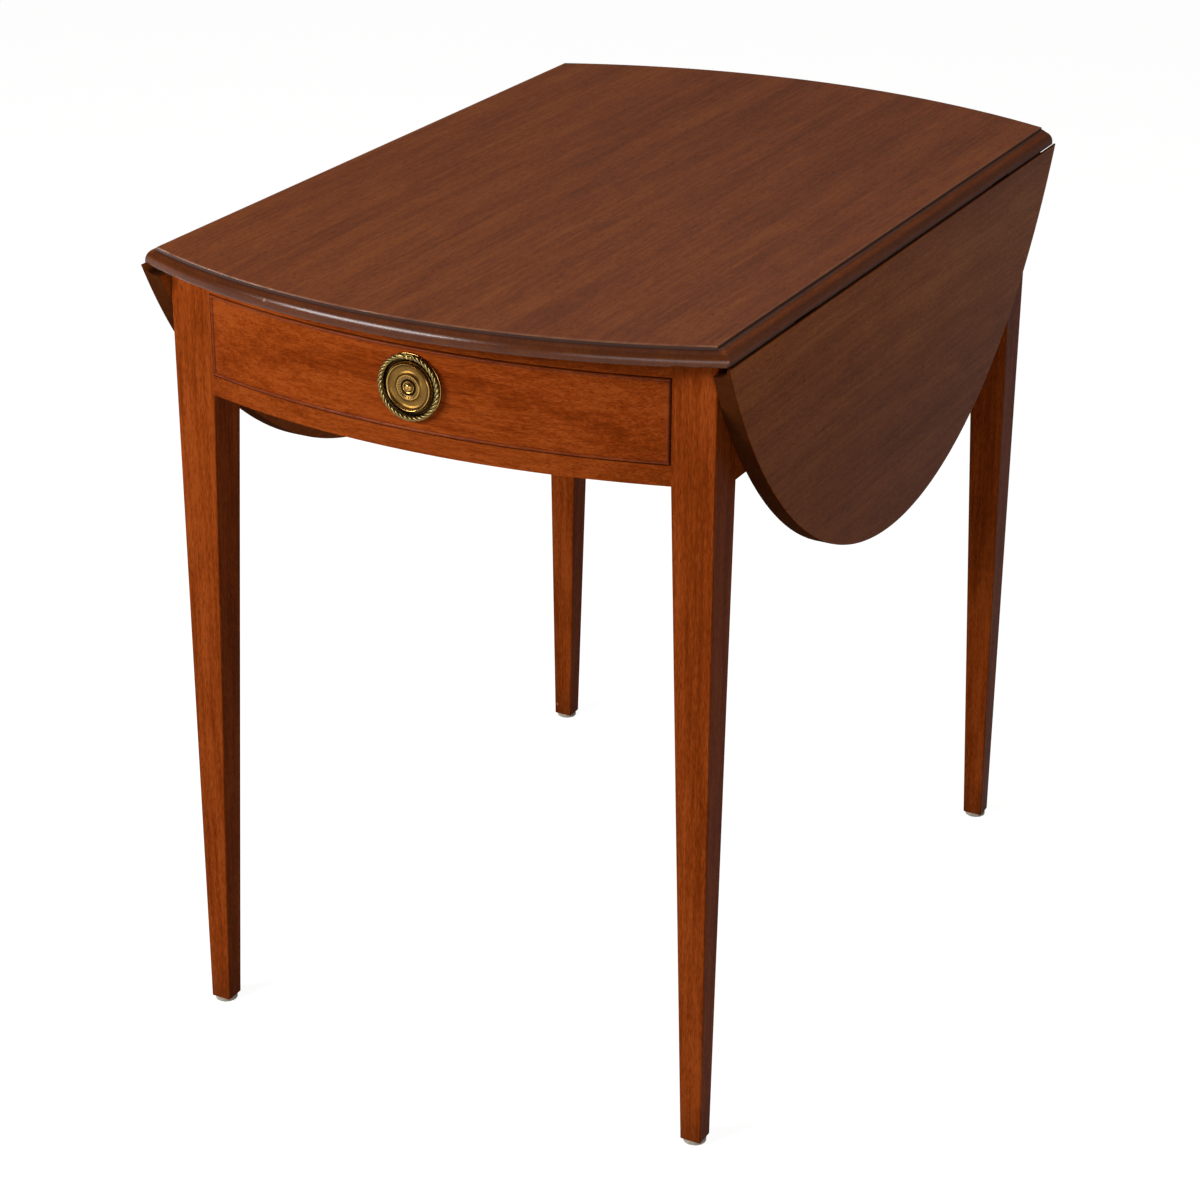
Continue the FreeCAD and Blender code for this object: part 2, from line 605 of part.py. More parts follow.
def glue_blocks():
    """Three-cornered blocks in the angle of each side rail and the top."""
    blocks = []
    for setback in GLUE_BLOCK_SETBACKS:
        y = LEG_IN_Y - setback
        outline = [
            Vector(SIDE_RAIL_IN_X, y - GLUE_BLOCK_LENGTH / 2, UNDERSIDE),
            Vector(SIDE_RAIL_IN_X - GLUE_BLOCK, y - GLUE_BLOCK_LENGTH / 2, UNDERSIDE),
            Vector(SIDE_RAIL_IN_X, y - GLUE_BLOCK_LENGTH / 2, UNDERSIDE - GLUE_BLOCK),
        ]
        block = polygon_from(outline, Y_AXIS * GLUE_BLOCK_LENGTH)
        blocks.extend([block, mirror_x(block)])
    return blocks


def carriage_pieces():
    """Right-hand runner, guide and kicker."""
    y_pair = (-LEG_IN_Y, CARRIAGE_END_Y)
    runner_x = (SIDE_RAIL_IN_X - RUNNER_WIDTH, SIDE_RAIL_IN_X)
    runner = box(runner_x, y_pair, (OPENING_BOTTOM - RUNNER_DEPTH, OPENING_BOTTOM))
    guide_x = (DRAWER_HALF + GUIDE_GAP, SIDE_RAIL_IN_X)
    guide = box(guide_x, y_pair, (OPENING_BOTTOM, OPENING_BOTTOM + GUIDE_HEIGHT))
    kicker = box((SIDE_RAIL_IN_X - KICKER_WIDTH, SIDE_RAIL_IN_X), y_pair, (OPENING_TOP, UNDERSIDE))
    return runner, guide, kicker


def drawer_stops():
    """Two blocks on the front lower rail that the drawer front comes up against."""
    stops = []
    contact_y = bow_y(STOP_OFFSET + STOP_LENGTH / 2, DRAWER_FRONT_THICKNESS + DRAWER_RUN_GAP)
    for side in (-1, 1):
        x_pair = (side * STOP_OFFSET - STOP_LENGTH / 2, side * STOP_OFFSET + STOP_LENGTH / 2)
        z_pair = (OPENING_BOTTOM, OPENING_BOTTOM + STOP_HEIGHT)
        stops.append(box(x_pair, (contact_y, contact_y + STOP_DEPTH), z_pair))
    return stops


def bead_strips():
    """Bead let into the drawer front: top and bottom strips along the bow, upright strips at the ends."""
    nose = BOW_RADIUS + BEAD_RISE
    deep = BOW_RADIUS - BEAD_DEPTH
    within = box((-DRAWER_HALF, DRAWER_HALF), (BOW_FRONT_Y - BEAD_DEPTH, 0), (FRONT_BOTTOM, FRONT_TOP))
    centre = Vector(0, BOW_CENTRE_Y, 0)
    sweep = 2 * math.degrees(math.asin(LEG_IN_X / BOW_RADIUS))
    strips = []
    for low in (FRONT_BOTTOM, FRONT_TOP - BEAD_WIDTH):
        high = low + BEAD_WIDTH
        middle = (low + high) / 2
        edges = [
            line(Vector(0, -deep, low), Vector(0, -BOW_RADIUS, low)),
            arc(Vector(0, -BOW_RADIUS, low), Vector(0, -nose, middle), Vector(0, -BOW_RADIUS, high)),
            line(Vector(0, -BOW_RADIUS, high), Vector(0, -deep, high)),
            line(Vector(0, -deep, high), Vector(0, -deep, low)),
        ]
        section = Part.Face(Part.Wire(edges))
        section.translate(centre)
        section.rotate(centre, Z_AXIS, -sweep / 2)
        strips.append(section.revolve(centre, Z_AXIS, sweep).common(within))
    inner = DRAWER_HALF - BEAD_WIDTH
    low = FRONT_BOTTOM + BEAD_WIDTH
    high = FRONT_TOP - BEAD_WIDTH
    outer_point = Vector(DRAWER_HALF, bow_y(DRAWER_HALF), low)
    inner_point = Vector(inner, bow_y(inner), low)
    outward = (Vector((DRAWER_HALF + inner) / 2, 0, 0) - Vector(0, BOW_CENTRE_Y - bow_y(inner), 0)).normalize()
    crest = (outer_point + inner_point) / 2 + outward * BEAD_RISE
    outer_deep = outer_point + Y_AXIS * BEAD_DEPTH
    inner_deep = Vector(inner, outer_deep.y, low)
    edges = [
        arc(outer_point, crest, inner_point),
        line(inner_point, inner_deep),
        line(inner_deep, outer_deep),
        line(outer_deep, outer_point),
    ]
    upright = solid_from(edges, Z_AXIS * (high - low)).common(within)
    return strips + [upright, mirror_x(upright)]


def dovetail_tails():
    """Tails at the front end of the right-hand drawer side."""
    pitch = (SIDE_TOP - SIDE_BOTTOM) / DOVETAILS
    tails = []
    for index in range(DOVETAILS):
        middle = SIDE_BOTTOM + (index + 0.5) * pitch
        root = DOVETAIL_ROOT / 2
        tip = root + DOVETAIL_FLARE
        outline = [
            Vector(DRAWER_SIDE_IN, SHOULDER_Y, middle - root),
            Vector(DRAWER_SIDE_IN, SHOULDER_Y - DOVETAIL_LENGTH, middle - tip),
            Vector(DRAWER_SIDE_IN, SHOULDER_Y - DOVETAIL_LENGTH, middle + tip),
            Vector(DRAWER_SIDE_IN, SHOULDER_Y, middle + root),
        ]
        tails.append(polygon_from(outline, X_AXIS * DRAWER_SIDE_THICKNESS))
    return tails


def drawer_pieces(pull_holes):
    """Drawer front, bead, right-hand side, back and bottom."""
    beads = bead_strips()
    tails = dovetail_tails()
    groove_x = DRAWER_SIDE_IN + DRAWER_GROOVE
    panel_front = DRAWER_FRONT_THICKNESS - DRAWER_GROOVE
    panel_edges = [
        bow_edge(groove_x, PANEL_BOTTOM, panel_front),
        line(Vector(groove_x, bow_y(groove_x, panel_front), PANEL_BOTTOM),
             Vector(groove_x, DRAWER_END_Y, PANEL_BOTTOM)),
        line(Vector(groove_x, DRAWER_END_Y, PANEL_BOTTOM), Vector(-groove_x, DRAWER_END_Y, PANEL_BOTTOM)),
        line(Vector(-groove_x, DRAWER_END_Y, PANEL_BOTTOM),
             Vector(-groove_x, bow_y(groove_x, panel_front), PANEL_BOTTOM)),
    ]
    bottom = solid_from(panel_edges, Z_AXIS * DRAWER_BOTTOM_THICKNESS)

    back_y = DRAWER_END_Y - DRAWER_BACK_INSET
    housing_x = DRAWER_SIDE_IN + DRAWER_GROOVE
    back = box((-housing_x, housing_x), (back_y - DRAWER_BACK_THICKNESS, back_y), (PANEL_TOP, SIDE_TOP))

    side_x = (DRAWER_SIDE_IN, DRAWER_HALF)
    side = box(side_x, (SHOULDER_Y, DRAWER_END_Y), (SIDE_BOTTOM, SIDE_TOP))
    side = side.fuse(tails).removeSplitter().cut([bottom, back])

    front = bowed_shell(DRAWER_HALF, DRAWER_FRONT_THICKNESS, FRONT_BOTTOM, FRONT_TOP)
    shoulder = box(side_x, (SHOULDER_Y, 0), (FRONT_BOTTOM, FRONT_TOP))
    seats = [shoulder, mirror_x(shoulder)] + tails + [mirror_x(tail) for tail in tails]
    front = front.cut(seats + [bottom] + beads + pull_holes)
    return front, beads, side, back, bottom


def on_pull(shape):
    """Place a shape made about the origin, facing +Z, on the drawer front facing outwards."""
    placed = shape.copy()
    turn = FreeCAD.Rotation(X_AXIS, 90)
    placed.Placement = FreeCAD.Placement(Vector(0, BOW_FRONT_Y, PULL_Z), turn).multiply(placed.Placement)
    return placed


def rosette():
    """Back plate turned in one piece: flange, rim bead, hollow dish, boss and button."""
    def at(radius, height):
        """Point of the turned section, with its height above the flange."""
        return Vector(radius, 0, FLANGE_THICKNESS + height)

    def dome(outer, inner, foot, crown):
        """Round nose between two radii, from one height up to the crown and down again."""
        return arc(at(outer, foot), at((outer + inner) / 2, crown), at(inner, foot))

    sunk = -2 * FLANGE_THICKNESS
    edge = FLANGE_RADIUS - FLANGE_ROUND
    edge_round = edge + FLANGE_ROUND * math.sin(HALF_CORNER)
    edge_drop = -FLANGE_ROUND * (1 - math.cos(HALF_CORNER))
    rim_in = RIM_RADIUS - RIM_WIDTH
    rim_foot = RIM_HEIGHT - RIM_WIDTH / 2
    boss_in = BOSS_RADIUS - BOSS_WIDTH
    boss_foot = BOSS_HEIGHT - BOSS_WIDTH / 2
    dish_middle = (rim_in + BOSS_RADIUS) / 2
    outline = [
        line(at(0, sunk), at(FLANGE_RADIUS, sunk)),
        line(at(FLANGE_RADIUS, sunk), at(FLANGE_RADIUS, -FLANGE_ROUND)),
        arc(at(FLANGE_RADIUS, -FLANGE_ROUND), at(edge_round, edge_drop), at(edge, 0)),
        line(at(edge, 0), at(RIM_RADIUS + RIM_FOOT, 0)),
        line(at(RIM_RADIUS + RIM_FOOT, 0), at(RIM_RADIUS, rim_foot)),
        dome(RIM_RADIUS, rim_in, rim_foot, RIM_HEIGHT),
        arc(at(rim_in, rim_foot), at(dish_middle, DISH_HEIGHT), at(BOSS_RADIUS, boss_foot)),
        dome(BOSS_RADIUS, boss_in, boss_foot, BOSS_HEIGHT),
        line(at(boss_in, boss_foot), at(boss_in, WELL_HEIGHT)),
        line(at(boss_in, WELL_HEIGHT), at(BUTTON_RADIUS, WELL_HEIGHT)),
        line(at(BUTTON_RADIUS, WELL_HEIGHT), at(BUTTON_RADIUS, BUTTON_SHOULDER)),
        line(at(BUTTON_RADIUS, BUTTON_SHOULDER), at(BUTTON_RADIUS / 2, BUTTON_HEIGHT)),
        line(at(BUTTON_RADIUS / 2, BUTTON_HEIGHT), at(0, BUTTON_HEIGHT)),
        line(at(0, BUTTON_HEIGHT), at(0, sunk)),
    ]
    return Part.Face(Part.Wire(outline)).revolve(ORIGIN, Z_AXIS, 360)


def pull_pieces():
    """Ring pull: back plate, post, ring, screw and washer."""
    wood = bowed_shell(DRAWER_HALF, DRAWER_FRONT_THICKNESS, FRONT_BOTTOM, FRONT_TOP)
    screw_foot = Vector(0, 0, -DRAWER_FRONT_THICKNESS - WASHER_THICKNESS)
    shank = Part.makeCylinder(
        PULL_SCREW_RADIUS, DRAWER_FRONT_THICKNESS + WASHER_THICKNESS + PULL_SCREW_BITE, screw_foot)
    head_foot = screw_foot - Z_AXIS * PULL_SCREW_HEAD_HEIGHT
    head = Part.makeCylinder(PULL_SCREW_HEAD, PULL_SCREW_HEAD_HEIGHT, head_foot)
    pull_screw = on_pull(head.fuse(shank).removeSplitter())
    washer = Part.makeCylinder(WASHER_RADIUS, WASHER_THICKNESS, screw_foot)
    washer = on_pull(washer.cut(shank)).cut(wood)

    pivot = Vector(0, RING_PIVOT, RING_OUT)
    post_height = RING_OUT - FLANGE_THICKNESS
    post = Part.makeCylinder(POST_RADIUS, post_height, pivot - Z_AXIS * post_height)
    post = post.fuse(Part.makeSphere(POST_RADIUS, pivot)).removeSplitter()
    eye = Part.makeCylinder(
        RING_PIN_RADIUS + RUNNING_CLEARANCE, 2 * post_height, pivot - X_AXIS * post_height, X_AXIS)
    post = on_pull(post.cut(eye))
    plate = on_pull(rosette()).cut([wood, pull_screw])

    ring = Part.makeTorus(RING_RADIUS, RING_WIRE, Vector(0, 0, RING_OUT), Z_AXIS)
    gap_width = (RING_COLLAR_START + RING_COLLAR_END) / 2
    ring = ring.cut(box((-gap_width, gap_width), (0, 2 * RING_RADIUS), (0, 2 * RING_OUT)))
    pin = Part.makeCylinder(RING_PIN_RADIUS, 2 * RING_COLLAR_END, pivot - X_AXIS * RING_COLLAR_END, X_AXIS)
    collars = []
    for start in (-RING_COLLAR_END, RING_COLLAR_START):
        collar_length = RING_COLLAR_END - RING_COLLAR_START
        collars.append(Part.makeCylinder(RING_COLLAR, collar_length, pivot + X_AXIS * start, X_AXIS))
    ring = on_pull(ring.fuse([pin] + collars).removeSplitter())
    return plate, post, ring, pull_screw, washer


def write(name, *shapes):
    """Write one node from one or more solids."""
    solids = [solid for shape in shapes for solid in shape.Solids]
    for solid in solids:
        if not solid.isValid():
            raise ValueError("invalid solid in " + name)
    node = solids[0] if len(solids) == 1 else Part.makeCompound(solids)
    node.exportStep("parts/" + name + ".step")


def write_pair(name, right):
    """Write the left and right nodes of a mirrored piece."""
    write(name + "_right", right)
    write(name + "_left", mirror_x(right))


def main():
    """Build every piece and write its node."""
    os.makedirs("parts", exist_ok=True)
    top_screws = hold_down_screws()
    write("table_top", table_top(top_screws))
    write("top_screws", *top_screws)

    leg = front_leg()
    write_pair("leg_front", leg)
    write_pair("leg_back", mirror_y(leg))
    glides = [felt_glide(), mirror_x(felt_glide())]
    write("felt_glides", *glides, *[mirror_y(glide) for glide in glides])

    upper = bowed_block(LEG_IN_X, -LEG_IN_Y, OPENING_TOP, UNDERSIDE)
    write("front_upper_rail", with_both(upper, upper_tenon()).cut(top_screws))
    lower = bowed_block(LEG_IN_X, -LEG_IN_Y, APRON_BOTTOM, OPENING_BOTTOM)
    write("front_lower_rail", with_both(lower, lower_tenon()))
    write("back_apron", back_apron())
    write_pair("side_rail", side_rail())

    rear, bracket, front, fly_pin = fly_rail_pieces()
    write_pair("fly_rail_rear", rear)
    write_pair("fly_bracket", bracket)
    write_pair("fly_rail_front", front)
    write("fly_pins", fly_pin, mirror_x(fly_pin))
    write("glue_blocks", *glue_blocks())

    runner, guide, kicker = carriage_pieces()
    write_pair("drawer_runner", runner)
    write_pair("drawer_guide", guide)
    kicker = kicker.cut(top_screws)
    write_pair("drawer_kicker", kicker)
    write("drawer_stops", *drawer_stops())

    plates, screws, pins = top_hinge_pieces()
    write_pair("top_hinge_plates", Part.makeCompound(plates))
    write("top_hinge_screws", *screws, *[mirror_x(one) for one in screws])
    write("hinge_pins", *pins, *[mirror_x(one) for one in pins])

    leaf, leaf_plates, leaf_screws = leaf_pieces()
    write_pair("leaf", leaf)
    write_pair("leaf_hinge_plates", leaf_plates)
    write_pair("leaf_hinge_screws", leaf_screws)

    plate, post, ring, pull_screw, washer = pull_pieces()
    front, beads, side, back, bottom = drawer_pieces([pull_screw])
    write("drawer_front", front)
    write("drawer_bead", *beads)
    write_pair("drawer_side", side)
    write("drawer_back", back)
    write("drawer_bottom", bottom)
    write("pull_backplate", plate)
    write("pull_post", post)
    write("pull_screw", pull_screw)
    write("pull_washer", washer)
    write("pull_ring", ring)


main()
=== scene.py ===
"""Looks of the pembroke table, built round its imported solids.

Metres, origin on the floor under the middle of the table, +X to the right across the drawer end,
+Y to the back, +Z up. Wood, brass, steel and felt are procedural. The ring pull, the screws and the
felt pads are modelled here.
"""

import logging
import math
import random
from dataclasses import dataclass
from enum import Enum
from typing import Any, Callable

import bmesh
import bpy
from mathutils import Matrix, Vector


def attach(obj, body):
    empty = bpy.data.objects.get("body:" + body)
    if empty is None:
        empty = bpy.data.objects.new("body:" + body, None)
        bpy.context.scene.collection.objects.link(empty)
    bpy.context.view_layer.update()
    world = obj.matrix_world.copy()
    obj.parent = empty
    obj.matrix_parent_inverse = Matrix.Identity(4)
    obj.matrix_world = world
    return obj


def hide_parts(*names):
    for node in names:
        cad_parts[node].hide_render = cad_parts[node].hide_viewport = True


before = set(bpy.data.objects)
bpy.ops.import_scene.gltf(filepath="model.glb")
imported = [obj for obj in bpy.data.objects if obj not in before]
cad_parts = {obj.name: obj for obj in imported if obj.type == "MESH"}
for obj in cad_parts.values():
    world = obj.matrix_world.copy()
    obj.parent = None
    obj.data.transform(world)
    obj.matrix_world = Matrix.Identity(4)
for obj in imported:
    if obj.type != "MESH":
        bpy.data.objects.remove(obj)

# Short names for types

Colour = tuple[float, float, float, float]
Point = tuple[float, float, float]
Span = tuple[float, float]
Tree = bpy.types.NodeTree
Socket = bpy.types.NodeSocket
Material = bpy.types.Material
Piece = bpy.types.Object

LOG = logging.getLogger("pembroke_table")
MM = 0.001
MERGE_MM = 0.002              # points nearer than this are one point
FACING = 0.9                  # a normal with this much of an axis in it looks along that axis
BESIDE = 0.5                  # a normal with less than this of an axis in it looks across it
QUARTER_TURN = math.radians(90)
SIDES = ("_left", "_right")


# Helpers for finishes

def linear(hex_colour: str) -> Colour:
    """Turn an sRGB hex colour into linear light.

    Args:
        hex_colour: six hex digits, with or without a leading hash.

    Returns:
        Linear red, green, blue and an alpha of one.
    """
    digits = hex_colour.lstrip("#")
    channels = []
    for start in (0, 2, 4):
        value = int(digits[start:start + 2], 16) / 255
        channels.append(value / 12.92 if value <= 0.04045 else ((value + 0.055) / 1.055) ** 2.4)
    return (channels[0], channels[1], channels[2], 1.0)


def grey(value: float) -> Colour:
    """Neutral colour of one linear value."""
    return (value, value, value, 1.0)


def metres(*millimetres: float) -> tuple[float, ...]:
    """Turn millimetres into metres."""
    return tuple(value * MM for value in millimetres)


def add_node(tree: Tree, kind: str, inputs: dict | None = None, stops: list | None = None,
             **settings: Any) -> bpy.types.Node:
    """Add a node, set it up and link it.

    Args:
        tree: node tree that gets the node.
        kind: Blender's name for the node type.
        inputs: socket name or number to a value, or to the output that feeds it.
        stops: position and colour pairs of a colour ramp.
        settings: attributes of the node.

    Returns:
        The new node.
    """
    node = tree.nodes.new(kind)
    for name, value in settings.items():
        setattr(node, name, value)
    if stops:
        elements = node.color_ramp.elements
        while len(elements) < len(stops):
            elements.new(1.0)
        for element, (position, colour) in zip(elements, stops):
            element.position = position
            element.color = colour
    for key, value in (inputs or {}).items():
        if isinstance(value, Socket):
            tree.links.new(value, node.inputs[key])
        else:
            node.inputs[key].default_value = value
    return node


def new_material(name: str) -> tuple[Material, Tree, bpy.types.Node]:
    """Make an empty node material.

    Args:
        name: name of the material.

    Returns:
        The material, its node tree and its principled shader, already linked to the output.
    """
    material = bpy.data.materials.new(name)
    material.use_nodes = True
    tree = material.node_tree
    tree.nodes.clear()
    shader = add_node(tree, "ShaderNodeBsdfPrincipled")
    add_node(tree, "ShaderNodeOutputMaterial", {"Surface": shader.outputs["BSDF"]})
    return material, tree, shader


class Axis(Enum):
    """Axis of the shared frame."""

    X = 0
    Y = 1
    Z = 2


@dataclass(frozen=True)
class Ramp:
    """Straight change of a mask from one share to another, over a span of some measure."""

    measure: Socket
    span: Span
    shares: Span


def product(tree: Tree, *ramps: Ramp) -> Socket:
    """Multiply several ramps into one mask.

    Args:
        tree: node tree of the material.
        ramps: the ramps, two or more.

    Returns:
        The mask.
    """
    mask = None
    for ramp in ramps:
        step = add_node(tree, "ShaderNodeMapRange", {
            "Value": ramp.measure, "From Min": ramp.span[0], "From Max": ramp.span[1],
            "To Min": ramp.shares[0], "To Max": ramp.shares[1]}).outputs[0]
        mask = step if mask is None else add_node(
            tree, "ShaderNodeMath", {0: mask, 1: step}, operation="MULTIPLY").outputs[0]
    return mask


def looks_along(tree: Tree, axis: Axis) -> Socket:
    """How squarely a surface looks along an axis.

    Args:
        tree: node tree of the material.
        axis: the axis, either way along it.

    Returns:
        One where it looks straight along the axis, zero where it looks across it.
    """
    normal = add_node(tree, "ShaderNodeTexCoord").outputs["Normal"]
    part = add_node(tree, "ShaderNodeSeparateXYZ", {"Vector": normal}).outputs[axis.value]
    return add_node(tree, "ShaderNodeMath", {0: part}, operation="ABSOLUTE").outputs[0]


def distance_from(tree: Tree, place: Socket, centre: Point, counts: Point) -> Socket:
    """How far a place is from a centre.

    Args:
        tree: node tree of the material.
        place: the place, in metres.
        centre: the centre, in millimetres.
        counts: one for each axis that counts and zero for the others.

    Returns:
        The distance in metres.
    """
    moved = add_node(tree, "ShaderNodeVectorMath", {0: place, 1: metres(*centre)},
                     operation="SUBTRACT")
    flat = add_node(tree, "ShaderNodeVectorMath", {0: moved.outputs["Vector"], 1: counts},
                    operation="MULTIPLY")
    out = add_node(tree, "ShaderNodeVectorMath", {0: flat.outputs["Vector"]}, operation="LENGTH")
    return out.outputs["Value"]


# Finishes

@dataclass(frozen=True)
class Stain:
    """Three shades of one stained timber, from its dark lines to its light ground."""

    dark: str
    middle: str
    light: str


@dataclass(frozen=True)
class Nick:
    """A small ragged dent in the finish: place and radius in millimetres, colour and strength."""

    place: Point
    radius: float
    colour: str = "#A98262"
    share: float = 0.6
    fray: float = 1.6             # its rim ends at this many radii

    def lay(self, tree: Tree, ragged: Socket, colour: Socket) -> Socket:
        """Lay the dent over a colour.

        Args:
            tree: node tree of the material.
            ragged: pattern that frays its rim.
            colour: colour so far.

        Returns:
            Colour with the dent on it.
        """
        place = add_node(tree, "ShaderNodeTexCoord").outputs["Object"]
        away = distance_from(tree, place, self.place, (1, 1, 1))
        radius = self.radius * MM
        frayed = add_node(tree, "ShaderNodeMath", {0: ragged, 1: radius, 2: away},
                          operation="MULTIPLY_ADD")
        dent = add_node(tree, "ShaderNodeMapRange", {
            "Value": frayed.outputs[0], "From Min": radius, "From Max": radius * self.fray,
            "To Min": self.share, "To Max": 0.0})
        marked = add_node(tree, "ShaderNodeMix", {
            0: dent.outputs[0], 6: colour, 7: linear(self.colour)}, data_type="RGBA")
        return marked.outputs[2]


@dataclass(frozen=True)
class Figure:
    """One pattern of a timber: a noise that is drawn out along the grain."""

    across_mm: float
    stretch: float                # how much longer it is along the grain
    detail: float
    bend: float
    rough: float = 0.55

    def draw(self, tree: Tree, grain: Axis) -> Socket:
        """Draw the pattern.

        Args:
            tree: node tree of the material.
            grain: axis that the grain runs along.

        Returns:
            Values from 0 to 1.
        """
        scale = [1 / (self.across_mm * MM)] * 3
        scale[grain.value] /= self.stretch
        place = add_node(tree, "ShaderNodeTexCoord").outputs["Object"]
        drawn = add_node(tree, "ShaderNodeMapping", {"Vector": place, "Scale": scale})
        noise = add_node(tree, "ShaderNodeTexNoise", {
            "Vector": drawn.outputs["Vector"], "Scale": 1.0, "Detail": self.detail,
            "Roughness": self.rough, "Distortion": self.bend})
        return noise.outputs["Fac"]


@dataclass(frozen=True)
class Relief:
    """Bump of a pattern: its strength, and its depth in millimetres."""

    strength: float
    depth_mm: float


@dataclass(frozen=True)
class LacqueredMahogany:
    """Mahogany, stained and sprayed with satin lacquer.

    To the eye: a warm red-brown ground, broad soft ribbon stripe, finer growth lines, a dense short
    fleck and a few dark open pores along the grain, end grain that took the stain darker, painted
    shade on the other edges, and a soft sheen that the pores break.
    """

    name: str
    grain: Axis
    stain: Stain
    pore: str = "#35140A"
    # darker colour of the end grain, also used as painted shade on the long-grain edges, under the top's
    # step and at its rule joints
    edge: str = "#2B1207"
    ribbon: Figure = Figure(30.0, 18.0, 2.0, 0.4)
    growth: Figure = Figure(3.2, 30.0, 3.0, 0.2)
    mottle: Figure = Figure(13.0, 3.5, 3.0, 0.6)
    fleck: Figure = Figure(0.9, 8.0, 2.0, 0.0)    # twice as wide as real ones, so that they show
    pores: Figure = Figure(0.7, 9.0, 1.0, 0.0)    # real ones are about 0.25 mm, drawn coarser to show
    mottle_share: float = 0.35
    growth_share: float = 0.4
    fleck_share: float = 0.32
    stain_levels: Point = (0.41, 0.50, 0.59)      # where the dark, middle and light stain lie
    pore_levels: Span = (0.60, 0.72)              # where a pore begins and where it is open
    pore_share: float = 0.5
    pore_matt: float = 0.18
    pore_relief: Relief = Relief(0.2, 0.1)
    growth_relief: Relief = Relief(0.08, 0.2)
    roughness: float = 0.30
    shine_levels: Span = (0.3, 0.7)
    shine_swing: float = 0.05     # dark figure is rougher by this much, and light figure smoother
    gloss: float = 0.006          # low, so that the pale floor does not veil the stain
    face: Axis | None = None      # the broad faces look along this axis, and all else is an edge
    face_levels: Span = (0.6, 0.92)
    # how far edges go to the edge colour: stain on end grain, painted shade on long-grain edges
    edge_share: float = 0.6
    nicks: tuple[Nick, ...] = ()

    def build(self) -> Material:
        """Make the material.

        Returns:
            The finished material.
        """
        material, tree, shader = new_material(self.name)
        mottle = self.mottle.draw(tree, self.grain)
        growth = self.growth.draw(tree, self.grain)
        figure = self.ribbon.draw(tree, self.grain)
        for layer, share in ((mottle, self.mottle_share), (growth, self.growth_share),
                             (self.fleck.draw(tree, self.grain), self.fleck_share)):
            figure = add_node(tree, "ShaderNodeMix", {0: share, 2: figure, 3: layer},
                              data_type="FLOAT").outputs[0]
        shades = [linear(shade) for shade in (self.stain.dark, self.stain.middle, self.stain.light)]
        ground = add_node(tree, "ShaderNodeValToRGB", {"Fac": figure},
                          stops=list(zip(self.stain_levels, shades)))
        pores = add_node(tree, "ShaderNodeValToRGB", {"Fac": self.pores.draw(tree, self.grain)},
                         stops=list(zip(self.pore_levels, (grey(0.0), grey(self.pore_share)))))
        opened = pores.outputs["Color"]
        colour = add_node(tree, "ShaderNodeMix", {
            0: opened, 6: ground.outputs["Color"], 7: linear(self.pore)}, data_type="RGBA")
        # marks of use and painted light of each finish
        result = self.wear_and_painted_light(tree, mottle, self.edges(tree, colour.outputs[2]))
        for nick in self.nicks:
            result = nick.lay(tree, mottle, result)

        shine = add_node(tree, "ShaderNodeMapRange", {
            "Value": figure, "From Min": self.shine_levels[0], "From Max": self.shine_levels[1],
            "To Min": self.roughness + self.shine_swing,
            "To Max": self.roughness - self.shine_swing})
        matt = add_node(tree, "ShaderNodeMath", {0: opened, 1: self.pore_matt, 2: shine.outputs[0]},
                        operation="MULTIPLY_ADD")
        sunk = add_node(tree, "ShaderNodeBump", {
            "Strength": self.pore_relief.strength, "Distance": self.pore_relief.depth_mm * MM,
            "Height": opened}, invert=True)
        wave = add_node(tree, "ShaderNodeBump", {
            "Strength": self.growth_relief.strength, "Distance": self.growth_relief.depth_mm * MM,
            "Height": growth, "Normal": sunk.outputs["Normal"]})
        tree.links.new(result, shader.inputs["Base Color"])
        tree.links.new(self.dull(tree, matt.outputs[0]), shader.inputs["Roughness"])
        tree.links.new(wave.outputs["Normal"], shader.inputs["Normal"])
        shader.inputs["Specular IOR Level"].default_value = self.gloss
        return material

    def edges(self, tree: Tree, colour: Socket) -> Socket:
        """Darken what does not look along the face axis: stain where the end grain drank it, and
        painted shade on the long-grain edges.

        Args:
            tree: node tree of the material.
            colour: colour so far.

        Returns:
            Colour with dark edges, or the colour as it was where no face axis is set.
        """
        if self.face is None:
            return colour
        # stain on end grain, and painted shade on the long-grain edges such as a leaf's rim underneath
        beside = add_node(tree, "ShaderNodeMapRange", {
            "Value": looks_along(tree, self.face), "From Min": self.face_levels[0],
            "From Max": self.face_levels[1], "To Min": self.edge_share, "To Max": 0.0})
        dark = add_node(tree, "ShaderNodeMix", {
            0: beside.outputs[0], 6: colour, 7: linear(self.edge)}, data_type="RGBA")
        return dark.outputs[2]

    def dull(self, tree: Tree, rough: Socket) -> Socket:
        """Roughen where the lacquer is thin. The plain finish is even.

        Args:
            tree: node tree of the material.
            rough: roughness so far.

        Returns:
            The roughness.
        """
        return rough

    def wear_and_painted_light(self, tree: Tree, ragged: Socket, colour: Socket) -> Socket:
        """Add marks of use and painted light. The plain finish has none.

        Args:
            tree: node tree of the material.
            ragged: pattern that frays the marks.
            colour: colour so far.

        Returns:
            Colour with the marks on it.
        """
        return colour


